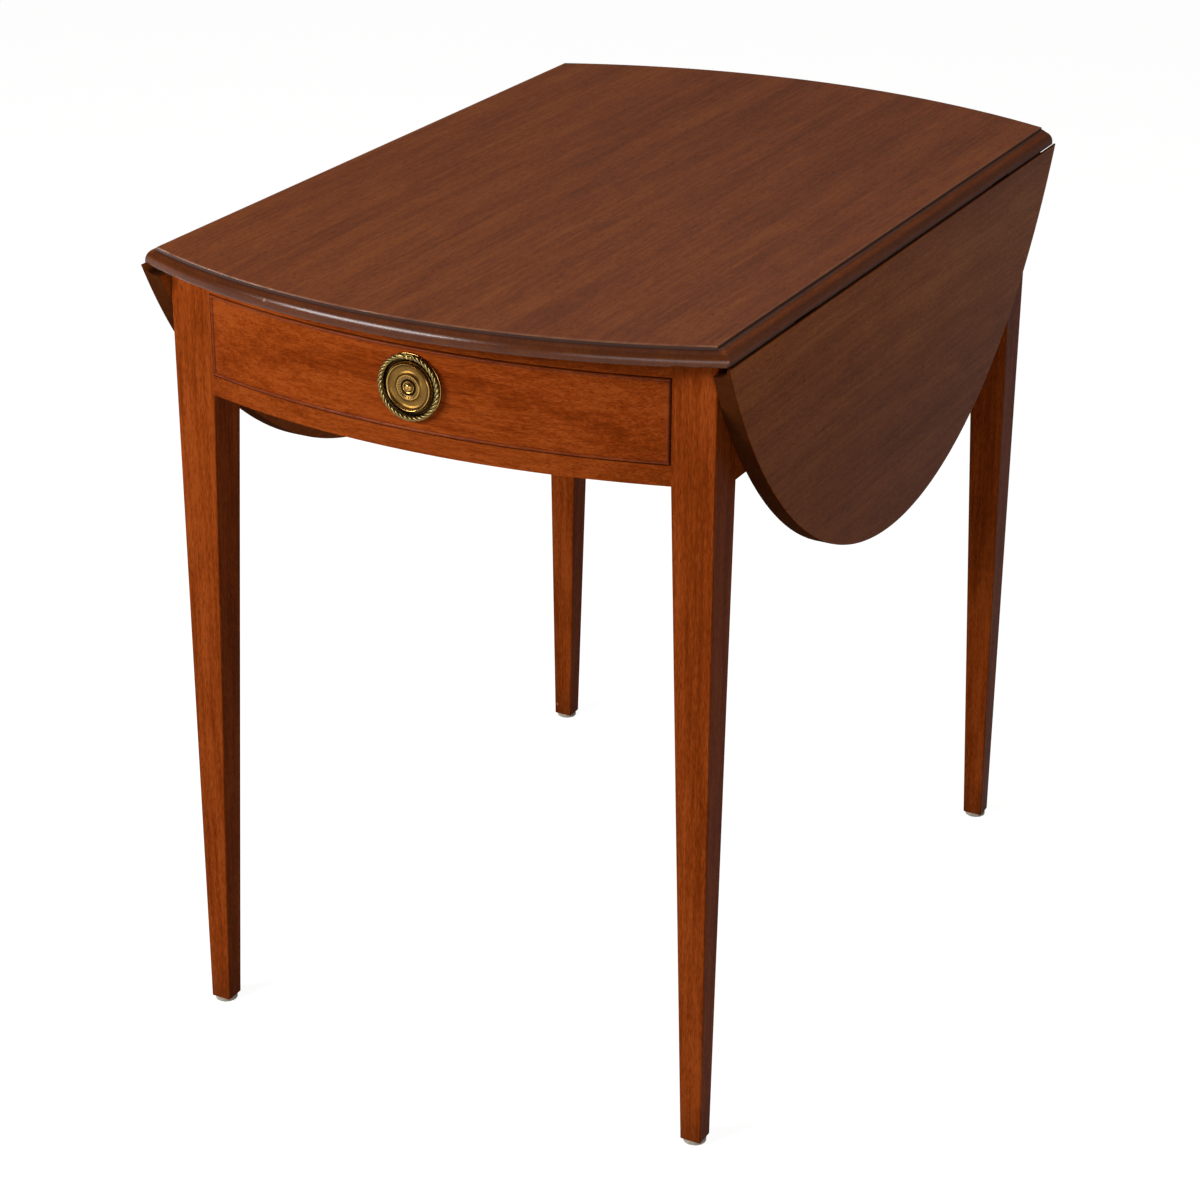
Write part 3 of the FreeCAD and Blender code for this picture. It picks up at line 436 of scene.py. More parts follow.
@dataclass(frozen=True)
class TopMahogany(LacqueredMahogany):
    """Mahogany of the fixed top. Sizes in mm.

    To the eye: the step round the flat has a pale line along its arris, partly rubbed wear and
    partly a painted highlight, and painted shade in the corner below and along the rule joints.
    """

    end_radius: float = 606.76    # plan radius of the step along a bowed end
    end_centre: float = 199.76    # from the middle of the table to that arc's centre, away from the end
    side_step: float = 254.5      # from the middle of the table to the step beside a leaf
    surface: float = 724.0
    flat_matt: float = 0.34       # the flat is wiped every day, so it is rougher by this much
    flat_levels: Span = (0.95, 0.99)
    side_matt: float = 0.5        # and so is the moulding that a leaf rubs along
    side_levels: Span = (0.45, 0.8)
    side_paler: float = 1.8       # lightens the side mouldings, taking back part of the painted edge shade
    paler_levels: Span = (0.3, 0.7)
    # pale line along the step's arris: partly rubbed wear, partly a painted highlight
    rubbed: str = "#96684E"
    rub_highlight_share: float = 0.6
    rub_highlight_in: Span = (1.8, 0.72)    # in from the step, where the pale line begins and is full
    rub_highlight_down: Span = (1.2, 0.6)   # below the flat, likewise
    rub_highlight_breaks: Span = (0.25, 0.55)
    rub_highlight_least: float = 0.35
    # painted shade in the corner under the step and along the rule joints
    painted_shade_share: float = 0.85
    painted_shade_down: Span = (1.6, 0.9)     # below the flat, where the painted shade is full and where it ends
    painted_shade_out: Span = (0.3, 5.0)      # out from the step, likewise
    joint_height: Span = (710.5, 712.5)
    joint_out: Span = (9.0, 9.6)      # out from the side step, where the painted shade of the joint begins

    def dull(self, tree: Tree, rough: Socket) -> Socket:
        """Roughen the flat and the moulding beside each leaf.

        Args:
            tree: node tree of the material.
            rough: roughness so far.

        Returns:
            The roughness.
        """
        for axis, levels, matt in ((Axis.X, self.side_levels, self.side_matt),
                                   (Axis.Z, self.flat_levels, self.flat_matt)):
            worn = add_node(tree, "ShaderNodeMapRange", {
                "Value": looks_along(tree, axis), "From Min": levels[0], "From Max": levels[1],
                "To Min": 0.0, "To Max": matt})
            rough = add_node(tree, "ShaderNodeMath", {0: rough, 1: worn.outputs[0]},
                             operation="ADD").outputs[0]
        return rough

    def wear_and_painted_light(self, tree: Tree, ragged: Socket, colour: Socket) -> Socket:
        """Lighten the side mouldings, lay a pale line on the step's arris that is partly rubbed wear and
        partly a painted highlight, and paint shade in the corner below and along the rule joints.

        Args:
            tree: node tree of the material.
            ragged: pattern that frays the marks.
            colour: colour so far.

        Returns:
            Colour with the marks on it.
        """
        place = add_node(tree, "ShaderNodeTexCoord").outputs["Object"]
        folded = add_node(tree, "ShaderNodeVectorMath", {0: place},
                          operation="ABSOLUTE").outputs["Vector"]
        parts = add_node(tree, "ShaderNodeSeparateXYZ", {"Vector": folded})
        height = parts.outputs["Z"]
        out = distance_from(tree, folded, (0.0, -self.end_centre, 0.0), (1, 1, 0))
        past_end = add_node(tree, "ShaderNodeMath", {0: out, 1: self.end_radius * MM},
                            operation="SUBTRACT").outputs[0]
        past_side = add_node(tree, "ShaderNodeMath", {
            0: parts.outputs["X"], 1: self.side_step * MM}, operation="SUBTRACT").outputs[0]
        past = add_node(tree, "ShaderNodeMath", {0: past_end, 1: past_side},
                        operation="MAXIMUM").outputs[0]

        # the side mouldings are lightened, taking back part of the painted edge shade
        side_lightening = add_node(tree, "ShaderNodeMapRange", {
            "Value": looks_along(tree, Axis.X), "From Min": self.paler_levels[0],
            "From Max": self.paler_levels[1], "To Min": 0.0, "To Max": 1.0})
        paler = add_node(tree, "ShaderNodeVectorMath", {0: colour, 1: [self.side_paler] * 3},
                         operation="MULTIPLY")
        sides = add_node(tree, "ShaderNodeMix", {
            0: side_lightening.outputs[0], 6: colour, 7: paler.outputs["Vector"]}, data_type="RGBA")

        # painted shade: darker in the corner below the step and in the seam of each rule joint
        down = [self.surface - depth for depth in self.painted_shade_down]
        corner = product(tree, Ramp(height, metres(*down), (self.painted_shade_share, 0.0)),
                         Ramp(past, metres(*self.painted_shade_out), (1.0, 0.0)))
        seam = product(tree, Ramp(height, metres(*self.joint_height), (1.0, 0.0)),
                       Ramp(past_side, metres(*self.joint_out), (0.0, self.painted_shade_share)))
        painted_shade = add_node(tree, "ShaderNodeMath", {0: corner, 1: seam}, operation="MAXIMUM")
        shaded = add_node(tree, "ShaderNodeMix", {
            0: painted_shade.outputs[0], 6: sides.outputs[2], 7: linear(self.edge)}, data_type="RGBA")

        # pale arris line: partly rubbed wear and partly a painted highlight
        high = [self.surface - depth for depth in self.rub_highlight_down]
        inward = [-reach for reach in self.rub_highlight_in]
        worn = product(tree, Ramp(past, metres(*inward), (0.0, self.rub_highlight_share)),
                       Ramp(height, metres(*high), (0.0, 1.0)),
                       Ramp(ragged, self.rub_highlight_breaks, (self.rub_highlight_least, 1.0)))
        result = add_node(tree, "ShaderNodeMix", {
            0: worn, 6: shaded.outputs[2], 7: linear(self.rubbed)}, data_type="RGBA")
        return result.outputs[2]


@dataclass(frozen=True)
class LeafMahogany(LacqueredMahogany):
    """Mahogany of a drop leaf. Sizes in mm.

    To the eye: a painted sheen lightens it towards the joint, and its tip keeps the full stain.
    """

    painted_sheen: Point = (1.4, 1.55, 1.75)   # painted sheen: how much lighter and yellower it is near the joint
    painted_sheen_heights: Span = (545.0, 665.0)
    fray: float = 30.0
    lean: float = 0.22            # the painted sheen reaches lower towards the back by this share
    edge_matt: float = 0.6

    def dull(self, tree: Tree, rough: Socket) -> Socket:
        """Roughen the edge, where the grain ends.

        Args:
            tree: node tree of the material.
            rough: roughness so far.

        Returns:
            The roughness.
        """
        edge = add_node(tree, "ShaderNodeMapRange", {
            "Value": looks_along(tree, Axis.X), "From Min": self.face_levels[0],
            "From Max": self.face_levels[1], "To Min": self.edge_matt, "To Max": 0.0})
        return add_node(tree, "ShaderNodeMath", {0: rough, 1: edge.outputs[0]},
                        operation="ADD").outputs[0]

    def wear_and_painted_light(self, tree: Tree, ragged: Socket, colour: Socket) -> Socket:
        """Paint a sheen that lightens the stain from the tip to the joint.

        Args:
            tree: node tree of the material.
            ragged: pattern that frays the painted sheen.
            colour: colour so far.

        Returns:
            Colour with the painted sheen on it.
        """
        # painted sheen: lighter and yellower towards the joint, reaching lower towards the back
        place = add_node(tree, "ShaderNodeTexCoord").outputs["Object"]
        parts = add_node(tree, "ShaderNodeSeparateXYZ", {"Vector": place})
        height = add_node(tree, "ShaderNodeMath", {
            0: parts.outputs["Y"], 1: self.lean, 2: parts.outputs["Z"]}, operation="MULTIPLY_ADD")
        uneven = add_node(tree, "ShaderNodeMath", {
            0: ragged, 1: self.fray * MM, 2: height.outputs[0]}, operation="MULTIPLY_ADD")
        sheen_none, sheen_full = metres(*self.painted_sheen_heights)
        share = add_node(tree, "ShaderNodeMapRange", {
            "Value": uneven.outputs[0], "From Min": sheen_none, "From Max": sheen_full,
            "To Min": 0.0, "To Max": 1.0}, interpolation_type="SMOOTHSTEP")
        sheened = add_node(tree, "ShaderNodeVectorMath", {0: colour, 1: self.painted_sheen},
                            operation="MULTIPLY")
        result = add_node(tree, "ShaderNodeMix", {
            0: share.outputs[0], 6: colour, 7: sheened.outputs["Vector"]}, data_type="RGBA")
        return result.outputs[2]


@dataclass(frozen=True)
class LegMahogany(LacqueredMahogany):
    """Mahogany of a leg. Sizes in mm.

    To the eye: its foot is dulled in streaks by brooms and shoes.
    """

    scuff: str = "#3A1C0E"
    scuff_heights: Span = (4.0, 45.0)
    scuff_share: float = 0.7

    def wear_and_painted_light(self, tree: Tree, ragged: Socket, colour: Socket) -> Socket:
        """Dull the foot in streaks.

        Args:
            tree: node tree of the material.
            ragged: pattern that frays the marks.
            colour: colour so far.

        Returns:
            Colour with the marks on it.
        """
        place = add_node(tree, "ShaderNodeTexCoord").outputs["Object"]
        height = add_node(tree, "ShaderNodeSeparateXYZ", {"Vector": place}).outputs["Z"]
        lowest, highest = metres(*self.scuff_heights)
        low = add_node(tree, "ShaderNodeMapRange", {
            "Value": height, "From Min": lowest, "From Max": highest,
            "To Min": self.scuff_share, "To Max": 0.0})
        streak = add_node(tree, "ShaderNodeMath", {0: low.outputs[0], 1: ragged},
                          operation="MULTIPLY")
        result = add_node(tree, "ShaderNodeMix", {
            0: streak.outputs[0], 6: colour, 7: linear(self.scuff)}, data_type="RGBA")
        return result.outputs[2]


@dataclass(frozen=True)
class DrawerTimber:
    """Plain sawn poplar inside the frame and drawer, left with one thin coat of shellac.

    To the eye: pale straw to tan, straight growth lines, hardly any shine.
    """

    name: str
    grain: Axis
    early: str = "#C9A877"
    late: str = "#A27E4F"
    ring: Figure = Figure(7.0, 40.0, 3.0, 0.3, 0.5)
    fibre: Figure = Figure(1.0, 24.0, 3.0, 0.3, 0.5)
    fibre_share: float = 0.35
    levels: Span = (0.36, 0.58)   # where the late and the early wood lie
    relief: Relief = Relief(0.25, 0.15)
    roughness: float = 0.62
    gloss: float = 0.3

    def build(self) -> Material:
        """Make the material.

        Returns:
            The finished material.
        """
        material, tree, shader = new_material(self.name)
        ring = self.ring.draw(tree, self.grain)
        fibre = self.fibre.draw(tree, self.grain)
        both = add_node(tree, "ShaderNodeMix", {0: self.fibre_share, 2: ring, 3: fibre},
                        data_type="FLOAT")
        colour = add_node(tree, "ShaderNodeValToRGB", {"Fac": both.outputs[0]}, stops=list(zip(
            self.levels, (linear(self.late), linear(self.early)))))
        bump = add_node(tree, "ShaderNodeBump", {
            "Strength": self.relief.strength, "Distance": self.relief.depth_mm * MM,
            "Height": fibre})
        tree.links.new(colour.outputs["Color"], shader.inputs["Base Color"])
        tree.links.new(bump.outputs["Normal"], shader.inputs["Normal"])
        shader.inputs["Roughness"].default_value = self.roughness
        shader.inputs["Specular IOR Level"].default_value = self.gloss
        return material


@dataclass(frozen=True)
class AntiqueBrass:
    """Cast brass, darkened by a dip and rubbed bright again on what stands out.

    To the eye: yellow metal on the crests, brown-black in the hollows, soft highlights.
    """

    name: str = "antique_brass_rubbed"
    bright: str = "#BC9750"
    rubbed: str = "#80622E"
    dipped: str = "#1A1208"
    stain_mm: float = 6.0
    stain_share: float = 0.05
    roughness: float = 0.2
    dip_matt: float = 0.28        # the dip is rougher by this much
    worn: Point = (0.47, 0.515, 0.56)     # relief at which it is dipped, rubbed and bright

    def build(self) -> Material:
        """Make the material.

        Returns:
            The finished material.
        """
        material, tree, shader = new_material(self.name)
        place = add_node(tree, "ShaderNodeTexCoord").outputs["Object"]
        relief = add_node(tree, "ShaderNodeNewGeometry").outputs["Pointiness"]
        stain = add_node(tree, "ShaderNodeTexNoise", {
            "Vector": place, "Scale": 1 / (self.stain_mm * MM), "Detail": 5.0, "Roughness": 0.65})
        uneven = add_node(tree, "ShaderNodeMath", {
            0: stain.outputs["Fac"], 1: self.stain_share, 2: relief}, operation="MULTIPLY_ADD")
        colour = add_node(tree, "ShaderNodeValToRGB", {"Fac": uneven.outputs[0]}, stops=list(zip(
            self.worn, (linear(self.dipped), linear(self.rubbed), linear(self.bright)))))
        dull = add_node(tree, "ShaderNodeMapRange", {
            "Value": uneven.outputs[0], "From Min": self.worn[0], "From Max": self.worn[2],
            "To Min": self.roughness + self.dip_matt, "To Max": self.roughness})
        tree.links.new(self.hollow(tree, colour.outputs["Color"]), shader.inputs["Base Color"])
        tree.links.new(dull.outputs[0], shader.inputs["Roughness"])
        shader.inputs["Metallic"].default_value = 1.0
        return material

    def hollow(self, tree: Tree, colour: Socket) -> Socket:
        """Darken one place of the surface. The plain finish has no such place.

        Args:
            tree: node tree of the material.
            colour: colour so far.

        Returns:
            The colour.
        """
        return colour


@dataclass(frozen=True)
class RosetteBrass(AntiqueBrass):
    """Antique brass of the rosette: the flat behind the ring is darker. Sizes in mm."""

    centre: Point = (0.0, -372.0, 655.0)
    flat_inner: Span = (21.0, 21.3)   # radii over which the darkening sets in
    flat_outer: Span = (26.6, 27.0)   # radii over which it eases off again
    flat_dark_share: float = 0.85
    rim_share: float = 0.2        # part of the darkening that stays on the outer edge

    def hollow(self, tree: Tree, colour: Socket) -> Socket:
        """Darken the flat behind the ring.

        Args:
            tree: node tree of the material.
            colour: colour so far.

        Returns:
            The colour.
        """
        place = add_node(tree, "ShaderNodeTexCoord").outputs["Object"]
        out = distance_from(tree, place, self.centre, (1, 0, 1))
        dark = product(tree, Ramp(out, metres(*self.flat_inner), (0.0, self.flat_dark_share)),
                       Ramp(out, metres(*self.flat_outer), (1.0, self.rim_share)))
        result = add_node(tree, "ShaderNodeMix", {0: dark, 6: colour, 7: linear(self.dipped)},
                          data_type="RGBA")
        return result.outputs[2]


@dataclass(frozen=True)
class AgedSteel:
    """Rolled mild steel of hinges and screws, browned with age.

    To the eye: grey-brown and dull, with darker blotches that are rougher than the clean metal.
    """

    name: str = "aged_rolled_steel"
    clean: str = "#8D8578"
    browned: str = "#4A3E31"
    blotch_mm: float = 9.0
    blotch_levels: Span = (0.38, 0.62)
    dull_levels: Span = (0.3, 0.7)
    rust_rough: float = 0.60
    clean_rough: float = 0.36

    def build(self) -> Material:
        """Make the material.

        Returns:
            The finished material.
        """
        material, tree, shader = new_material(self.name)
        place = add_node(tree, "ShaderNodeTexCoord").outputs["Object"]
        blotch = add_node(tree, "ShaderNodeTexNoise", {
            "Vector": place, "Scale": 1 / (self.blotch_mm * MM), "Detail": 6.0,
            "Roughness": 0.6}).outputs["Fac"]
        colour = add_node(tree, "ShaderNodeValToRGB", {"Fac": blotch}, stops=list(zip(
            self.blotch_levels, (linear(self.browned), linear(self.clean)))))
        dull = add_node(tree, "ShaderNodeMapRange", {
            "Value": blotch, "From Min": self.dull_levels[0], "From Max": self.dull_levels[1],
            "To Min": self.rust_rough, "To Max": self.clean_rough})
        tree.links.new(colour.outputs["Color"], shader.inputs["Base Color"])
        tree.links.new(dull.outputs[0], shader.inputs["Roughness"])
        shader.inputs["Metallic"].default_value = 1.0
        return material


@dataclass(frozen=True)
class PressedFelt:
    """Pressed wool felt of the glides.

    To the eye: pale oatmeal, matt, with short crossing fibres and grey dirt between them.
    """

    name: str = "pressed_wool_felt"
    wool: str = "#D8D0C0"
    dirt: str = "#A79C8A"
    fibre_mm: float = 0.8
    levels: Span = (0.35, 0.6)    # where the dirt and the clean wool lie
    relief: Relief = Relief(0.7, 0.4)
    roughness: float = 0.95
    gloss: float = 0.1
    sheen: float = 0.3

    def build(self) -> Material:
        """Make the material.

        Returns:
            The finished material.
        """
        material, tree, shader = new_material(self.name)
        place = add_node(tree, "ShaderNodeTexCoord").outputs["Object"]
        fibre = add_node(tree, "ShaderNodeTexNoise", {
            "Vector": place, "Scale": 1 / (self.fibre_mm * MM), "Detail": 4.0,
            "Distortion": 1.6}).outputs["Fac"]
        colour = add_node(tree, "ShaderNodeValToRGB", {"Fac": fibre}, stops=list(zip(
            self.levels, (linear(self.dirt), linear(self.wool)))))
        bump = add_node(tree, "ShaderNodeBump", {
            "Strength": self.relief.strength, "Distance": self.relief.depth_mm * MM,
            "Height": fibre})
        tree.links.new(colour.outputs["Color"], shader.inputs["Base Color"])
        tree.links.new(bump.outputs["Normal"], shader.inputs["Normal"])
        shader.inputs["Roughness"].default_value = self.roughness
        shader.inputs["Specular IOR Level"].default_value = self.gloss
        shader.inputs["Sheen Weight"].default_value = self.sheen
        return material


# Helpers for modelling

def start_piece() -> None:
    """Leave edit mode and deselect everything before a primitive is added."""
    if bpy.context.object and bpy.context.object.mode != "OBJECT":
        bpy.ops.object.mode_set(mode="OBJECT")
    bpy.ops.object.select_all(action="DESELECT")


def only(piece: Piece) -> None:
    """Make one object the only selected one and the active one."""
    start_piece()
    piece.select_set(True)
    bpy.context.view_layer.objects.active = piece


def open_mesh(piece: Piece) -> None:
    """Put a piece's place into its mesh and open it in edit mode."""
    only(piece)
    bpy.ops.object.transform_apply(location=True, rotation=True, scale=True)
    bpy.ops.object.mode_set(mode="EDIT")


def select_faces(piece: Piece, test: Callable[[Vector, Vector], bool]) -> None:
    """Select the faces that pass a test, in edit mode.

    Args:
        piece: object in edit mode.
        test: takes a face's middle and its normal.
    """
    bpy.ops.mesh.select_mode(type="FACE")
    bpy.ops.mesh.select_all(action="DESELECT")
    mesh = bmesh.from_edit_mesh(piece.data)
    mesh.normal_update()
    for face in mesh.faces:
        face.select_set(test(face.calc_center_median(), face.normal))
    bmesh.update_edit_mesh(piece.data)


def extrude_steps(profile: list[Span], axis_point: Point, along: Vector) -> None:
    """Extrude the selected end of a round piece, step by step.

    Args:
        profile: radius and height in mm of the end as it is, and then of each step.
        axis_point: a point on the piece's axis, in metres.
        along: unit vector along that axis, which is one of the frame's.
    """
    radius, height = profile[0]
    for next_radius, next_height in profile[1:]:
        share = next_radius / radius
        bpy.ops.mesh.extrude_region()
        bpy.ops.transform.resize(value=[1 if part else share for part in along],
                                 center_override=axis_point)
        bpy.ops.transform.translate(value=along * ((next_height - height) * MM))
        radius, height = next_radius, next_height


def apply_all(piece: Piece) -> None:
    """Apply every modifier of a piece in order."""
    only(piece)
    for modifier in list(piece.modifiers):
        bpy.ops.object.modifier_apply(modifier=modifier.name)


def settle(piece: Piece, name: str, smooth_degrees: float) -> Piece:
    """Name a piece, put its place into its mesh, close its seams and smooth it.

    Args:
        piece: finished object.
        name: its name.
        smooth_degrees: sharper edges stay sharp.

    Returns:
        The same object.
    """
    open_mesh(piece)
    bpy.ops.mesh.select_all(action="SELECT")
    bpy.ops.mesh.remove_doubles(threshold=MERGE_MM * MM)
    bpy.ops.mesh.normals_make_consistent(inside=False)
    bpy.ops.object.mode_set(mode="OBJECT")
    bpy.ops.object.shade_smooth_by_angle(angle=math.radians(smooth_degrees))
    piece.name = name
    piece.data.name = name
    return piece


def joined(pieces: list[Piece]) -> Piece:
    """Join several objects into the first.

    Args:
        pieces: objects to join.

    Returns:
        The object that holds them all.
    """
    start_piece()
    for piece in pieces:
        piece.select_set(True)
    bpy.context.view_layer.objects.active = pieces[0]
    bpy.ops.object.join()
    return pieces[0]


def copied(piece: Piece, placement: Matrix) -> Piece:
    """Copy a piece with its own mesh, at another place.

    Args:
        piece: object to copy.
        placement: moves the copy's mesh.

    Returns:
        The copy.
    """
    twin = piece.copy()
    twin.data = piece.data.copy()
    twin.data.transform(placement)
    bpy.context.collection.objects.link(twin)
    return twin


def finish_piece(piece: Piece, material: Material, body: str, slot: str, *nodes: str) -> None:
    """Dress a new piece, tie it to its body and hide the solids that it replaces.

    Args:
        piece: finished object.
        material: its material.
        body: body that it moves with.
        slot: not used.
        nodes: solids that it replaces.
    """
    piece.data.materials.clear()
    piece.data.materials.append(material)
    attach(piece, body)
    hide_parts(*nodes)
    LOG.info("modelled %s on %s", piece.name, body)


def dress(material: Material, *nodes: str) -> None:
    """Give solids of the frame a finish.

    Args:
        material: the finish.
        nodes: names of the solids.
    """
    for name in nodes:
        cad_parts[name].material_slots[0].material = material
        LOG.info("dressed %s in %s", name, material.name)


def on_both_sides(*pieces: str) -> list[str]:
    """Names of pieces that there are on the left and on the right."""
    return [piece + side for piece in pieces for side in SIDES]


# Sub-assemblies

@dataclass
class TopAndLeaves:
    """Fixed top and the two drop leaves, grain along the table."""

    stain: Stain = Stain("#70330C", "#823D0F", "#924B17")
    edge_nicks: tuple[Nick, ...] = (
        Nick((-116.0, -400.6, 715.0), 1.5),
        Nick((45.0, -408.6, 720.0), 1.3),
        Nick((214.0, -373.6, 712.5), 1.0, "#1E0C05"),
        Nick((229.0, -367.9, 712.5), 1.2, "#1E0C05"),
    )

    def dress(self) -> None:
        """Finish the top and both leaves."""
        # on the top's sides and the leaves' rims the edge colour is painted shade; on their ends it is
        # stain
        top = TopMahogany("mahogany_top_satin_lacquer", Axis.Y, self.stain, gloss=0.26,
                          roughness=0.22, face=Axis.Z, edge_share=0.7, nicks=self.edge_nicks)
        leaf = LeafMahogany("mahogany_leaf_satin_lacquer", Axis.Y, self.stain, gloss=0.012,
                            roughness=0.38, face=Axis.X, edge_share=0.85)
        dress(top.build(), "table_top")
        dress(leaf.build(), *on_both_sides("leaf"))


@dataclass
class LegFrame:
    """Legs, front rails, back apron, fly rails and the hidden side rails."""

    stain: Stain = Stain("#6C2B08", "#83380F", "#954518")
    leg_ribbon: Figure = Figure(14.0, 18.0, 2.0, 0.4)
    foot_nick: Nick = Nick((-247.0, 321.0, 15.0), 1.6, "#C0855E")

    def dress(self) -> None:
        """Finish every piece of the frame."""
        leg = LegMahogany("mahogany_leg_satin_lacquer", Axis.Z, self.stain,
                          ribbon=self.leg_ribbon, nicks=(self.foot_nick,))
        rail = LacqueredMahogany("mahogany_rail_satin_lacquer", Axis.X, self.stain)
        fly = LacqueredMahogany("mahogany_fly_rail_satin_lacquer", Axis.Y, self.stain)
        along = DrawerTimber("poplar_frame_along_table", Axis.Y)
        across = DrawerTimber("poplar_stop_across_table", Axis.X)
        dress(leg.build(), *on_both_sides("leg_front", "leg_back"))
        dress(rail.build(), "front_upper_rail", "front_lower_rail", "back_apron")
        dress(fly.build(), *on_both_sides("fly_rail_rear", "fly_bracket", "fly_rail_front"))
        dress(along.build(), "glue_blocks", *on_both_sides(
            "side_rail", "drawer_runner", "drawer_guide", "drawer_kicker"))
        dress(across.build(), "drawer_stops")


@dataclass
class Drawer:
    """Bowed drawer: mahogany front and bead, pale box."""

    front_stain: Stain = Stain("#6B2907", "#84370E", "#974618")
    bead_stain: Stain = Stain("#5E240A", "#74300F", "#853C16")
    bottom_early: str = "#C2A06E"
    bottom_ring: Figure = Figure(11.0, 40.0, 3.0, 0.3, 0.5)

    def dress(self) -> None:
        """Finish the front, the bead and the box."""
        front = LacqueredMahogany("mahogany_drawer_front_satin_lacquer", Axis.X, self.front_stain)
        bead = LacqueredMahogany("mahogany_bead_satin_lacquer", Axis.X, self.bead_stain,
                                 gloss=0.06, roughness=0.24)
        bottom = DrawerTimber("poplar_drawer_bottom", Axis.X, early=self.bottom_early,
                              ring=self.bottom_ring)
        dress(front.build(), "drawer_front")
        dress(bead.build(), "drawer_bead")
        dress(DrawerTimber("poplar_drawer_side", Axis.Y).build(), *on_both_sides("drawer_side"))
        dress(DrawerTimber("poplar_drawer_back", Axis.X).build(), "drawer_back")
        dress(bottom.build(), "drawer_bottom")


@dataclass(frozen=True)
class TurnedStep:
    """One step of the rosette's turned section, with its radius and height off the drawer in mm."""

    part: str
    radius: float
    height: float


@dataclass
class RingPull:
    """Brass ring pull: turned rosette, twisted ring on a pin, post and fixings. Sizes in mm."""

    centre: Point = (0.0, -372.0, 655.0)
    seat: float = 1.0             # how far the rosette's back lies inside the bowed front
    rosette_sides: int = 144
    tick_every: int = 4
    tick_rim: float = 0.06
    tick_depth: float = 0.8
    ring_radius: float = 26.0
    ring_off: float = 4.8         # from the front of the drawer to the ring's plane
    pin_rise: float = 25.0
    rope_radius: float = 2.15
    rope_hollow: float = 0.48     # radius in the groove between strands, as a share of the crest
    rope_round: float = 0.7       # below one, the strands are fuller than a sine
    strands: int = 3
    strand_sides: int = 10
    turns: int = 12
    cuts_per_turn: int = 26
    left_end: float = 6.6         # where the rope stops beside the pin
    right_end: float = 3.8
    bar_sides: int = 40
    collar_radius: float = 2.35
    collar_left: Span = (-7.6, -3.0)
    collar_right: Span = (3.0, 4.4)
    collar_ease: float = 0.35
    pin_radius: float = 1.1
    pin: Span = (-4.0, 4.0)
    pin_ease: float = 0.1
    section: tuple[TurnedStep, ...] = (
        TurnedStep("flange edge", 27.6, 1.25),
        TurnedStep("flange edge round", 27.4, 1.6),
        TurnedStep("flange face", 27.0, 1.8),
        TurnedStep("flange face", 22.6, 1.8),
        TurnedStep("foot of the rim", 21.6, 1.9),
        TurnedStep("outer bead", 21.4, 2.6),
        TurnedStep("outer bead", 21.1, 3.3),
        TurnedStep("outer bead crest", 20.7, 3.7),
        TurnedStep("groove of the rim", 20.3, 3.6),
        TurnedStep("groove of the rim", 20.2, 4.3),
        TurnedStep("inner bead", 20.0, 5.5),
        TurnedStep("inner bead crest", 19.6, 6.3),
        TurnedStep("inner bead crest", 19.2, 6.6),
        TurnedStep("inner bead crest", 18.8, 6.4),
        TurnedStep("inner bead", 18.4, 5.7),
        TurnedStep("edge of the dish", 18.1, 4.9),
        TurnedStep("dish", 17.4, 4.25),
        TurnedStep("dish", 16.4, 3.65),
        TurnedStep("dish", 15.2, 3.35),
        TurnedStep("dish", 13.9, 3.3),
        TurnedStep("dish", 12.7, 3.55),
        TurnedStep("dish", 11.7, 4.1),
        TurnedStep("foot of the boss", 10.9, 4.8),
        TurnedStep("boss", 10.6, 5.5),
        TurnedStep("boss crest", 10.3, 5.9),
        TurnedStep("boss crest", 9.9, 6.0),
        TurnedStep("ticked slope", 9.6, 5.9),
        TurnedStep("ticked slope end", 7.0, 5.0),
        TurnedStep("well", 6.7, 4.4),
        TurnedStep("well", 5.4, 4.3),
        TurnedStep("button ring", 5.2, 5.0),
        TurnedStep("button ring", 4.8, 5.5),
        TurnedStep("button ring", 4.3, 5.4),
        TurnedStep("button groove", 3.9, 5.0),
        TurnedStep("button", 3.5, 5.2),
        TurnedStep("button", 2.9, 6.2),
        TurnedStep("button", 2.2, 6.8),
        TurnedStep("button crown", 1.4, 7.0),
        TurnedStep("point", 0.8, 7.1),
        TurnedStep("point", 0.5, 7.4),
        TurnedStep("point", 0.2, 7.6),
    )

    def build(self) -> None:
        """Model the rosette and the ring, and finish the rest of the pull."""
        brass = RosetteBrass("antique_brass_rosette", "#B68E4E", "#82612F", centre=self.centre)
        dark_brass = AntiqueBrass("antique_brass_dark_rope", "#8F7B4B", "#4E4124", "#0C0804",
                                  roughness=0.3, worn=(0.49, 0.53, 0.58))
        steel = AgedSteel("aged_steel_pull_fixings")
        finish_piece(self.rosette(), brass.build(), "drawer", "antique_brass", "pull_backplate")
        finish_piece(self.twisted_ring(), dark_brass.build(), "ring", "antique_brass", "pull_ring")
        dress(AntiqueBrass().build(), "pull_post")
        dress(steel.build(), "pull_washer", "pull_screw")

    def rosette(self) -> Piece:
        """Turn the back plate up from a disc, step by step, and cut the ticks.

        Returns:
            The rosette.
        """
        across, front, up = metres(*self.centre)
        flange = self.section[0]
        depth = (flange.height + self.seat) * MM
        start_piece()
        bpy.ops.mesh.primitive_cylinder_add(
            vertices=self.rosette_sides, radius=flange.radius * MM, depth=depth,
            location=(across, front + self.seat * MM - depth / 2, up),
            rotation=(QUARTER_TURN, 0, 0))
        plate = bpy.context.object
        open_mesh(plate)
        select_faces(plate, lambda middle, normal: normal.y < -FACING)
        extrude_steps([(step.radius, step.height) for step in self.section],
                      (across, front, up), Vector((0, -1, 0)))
        self.cut_ticks(plate)
        return settle(plate, "pull_rosette", smooth_degrees=38.0)

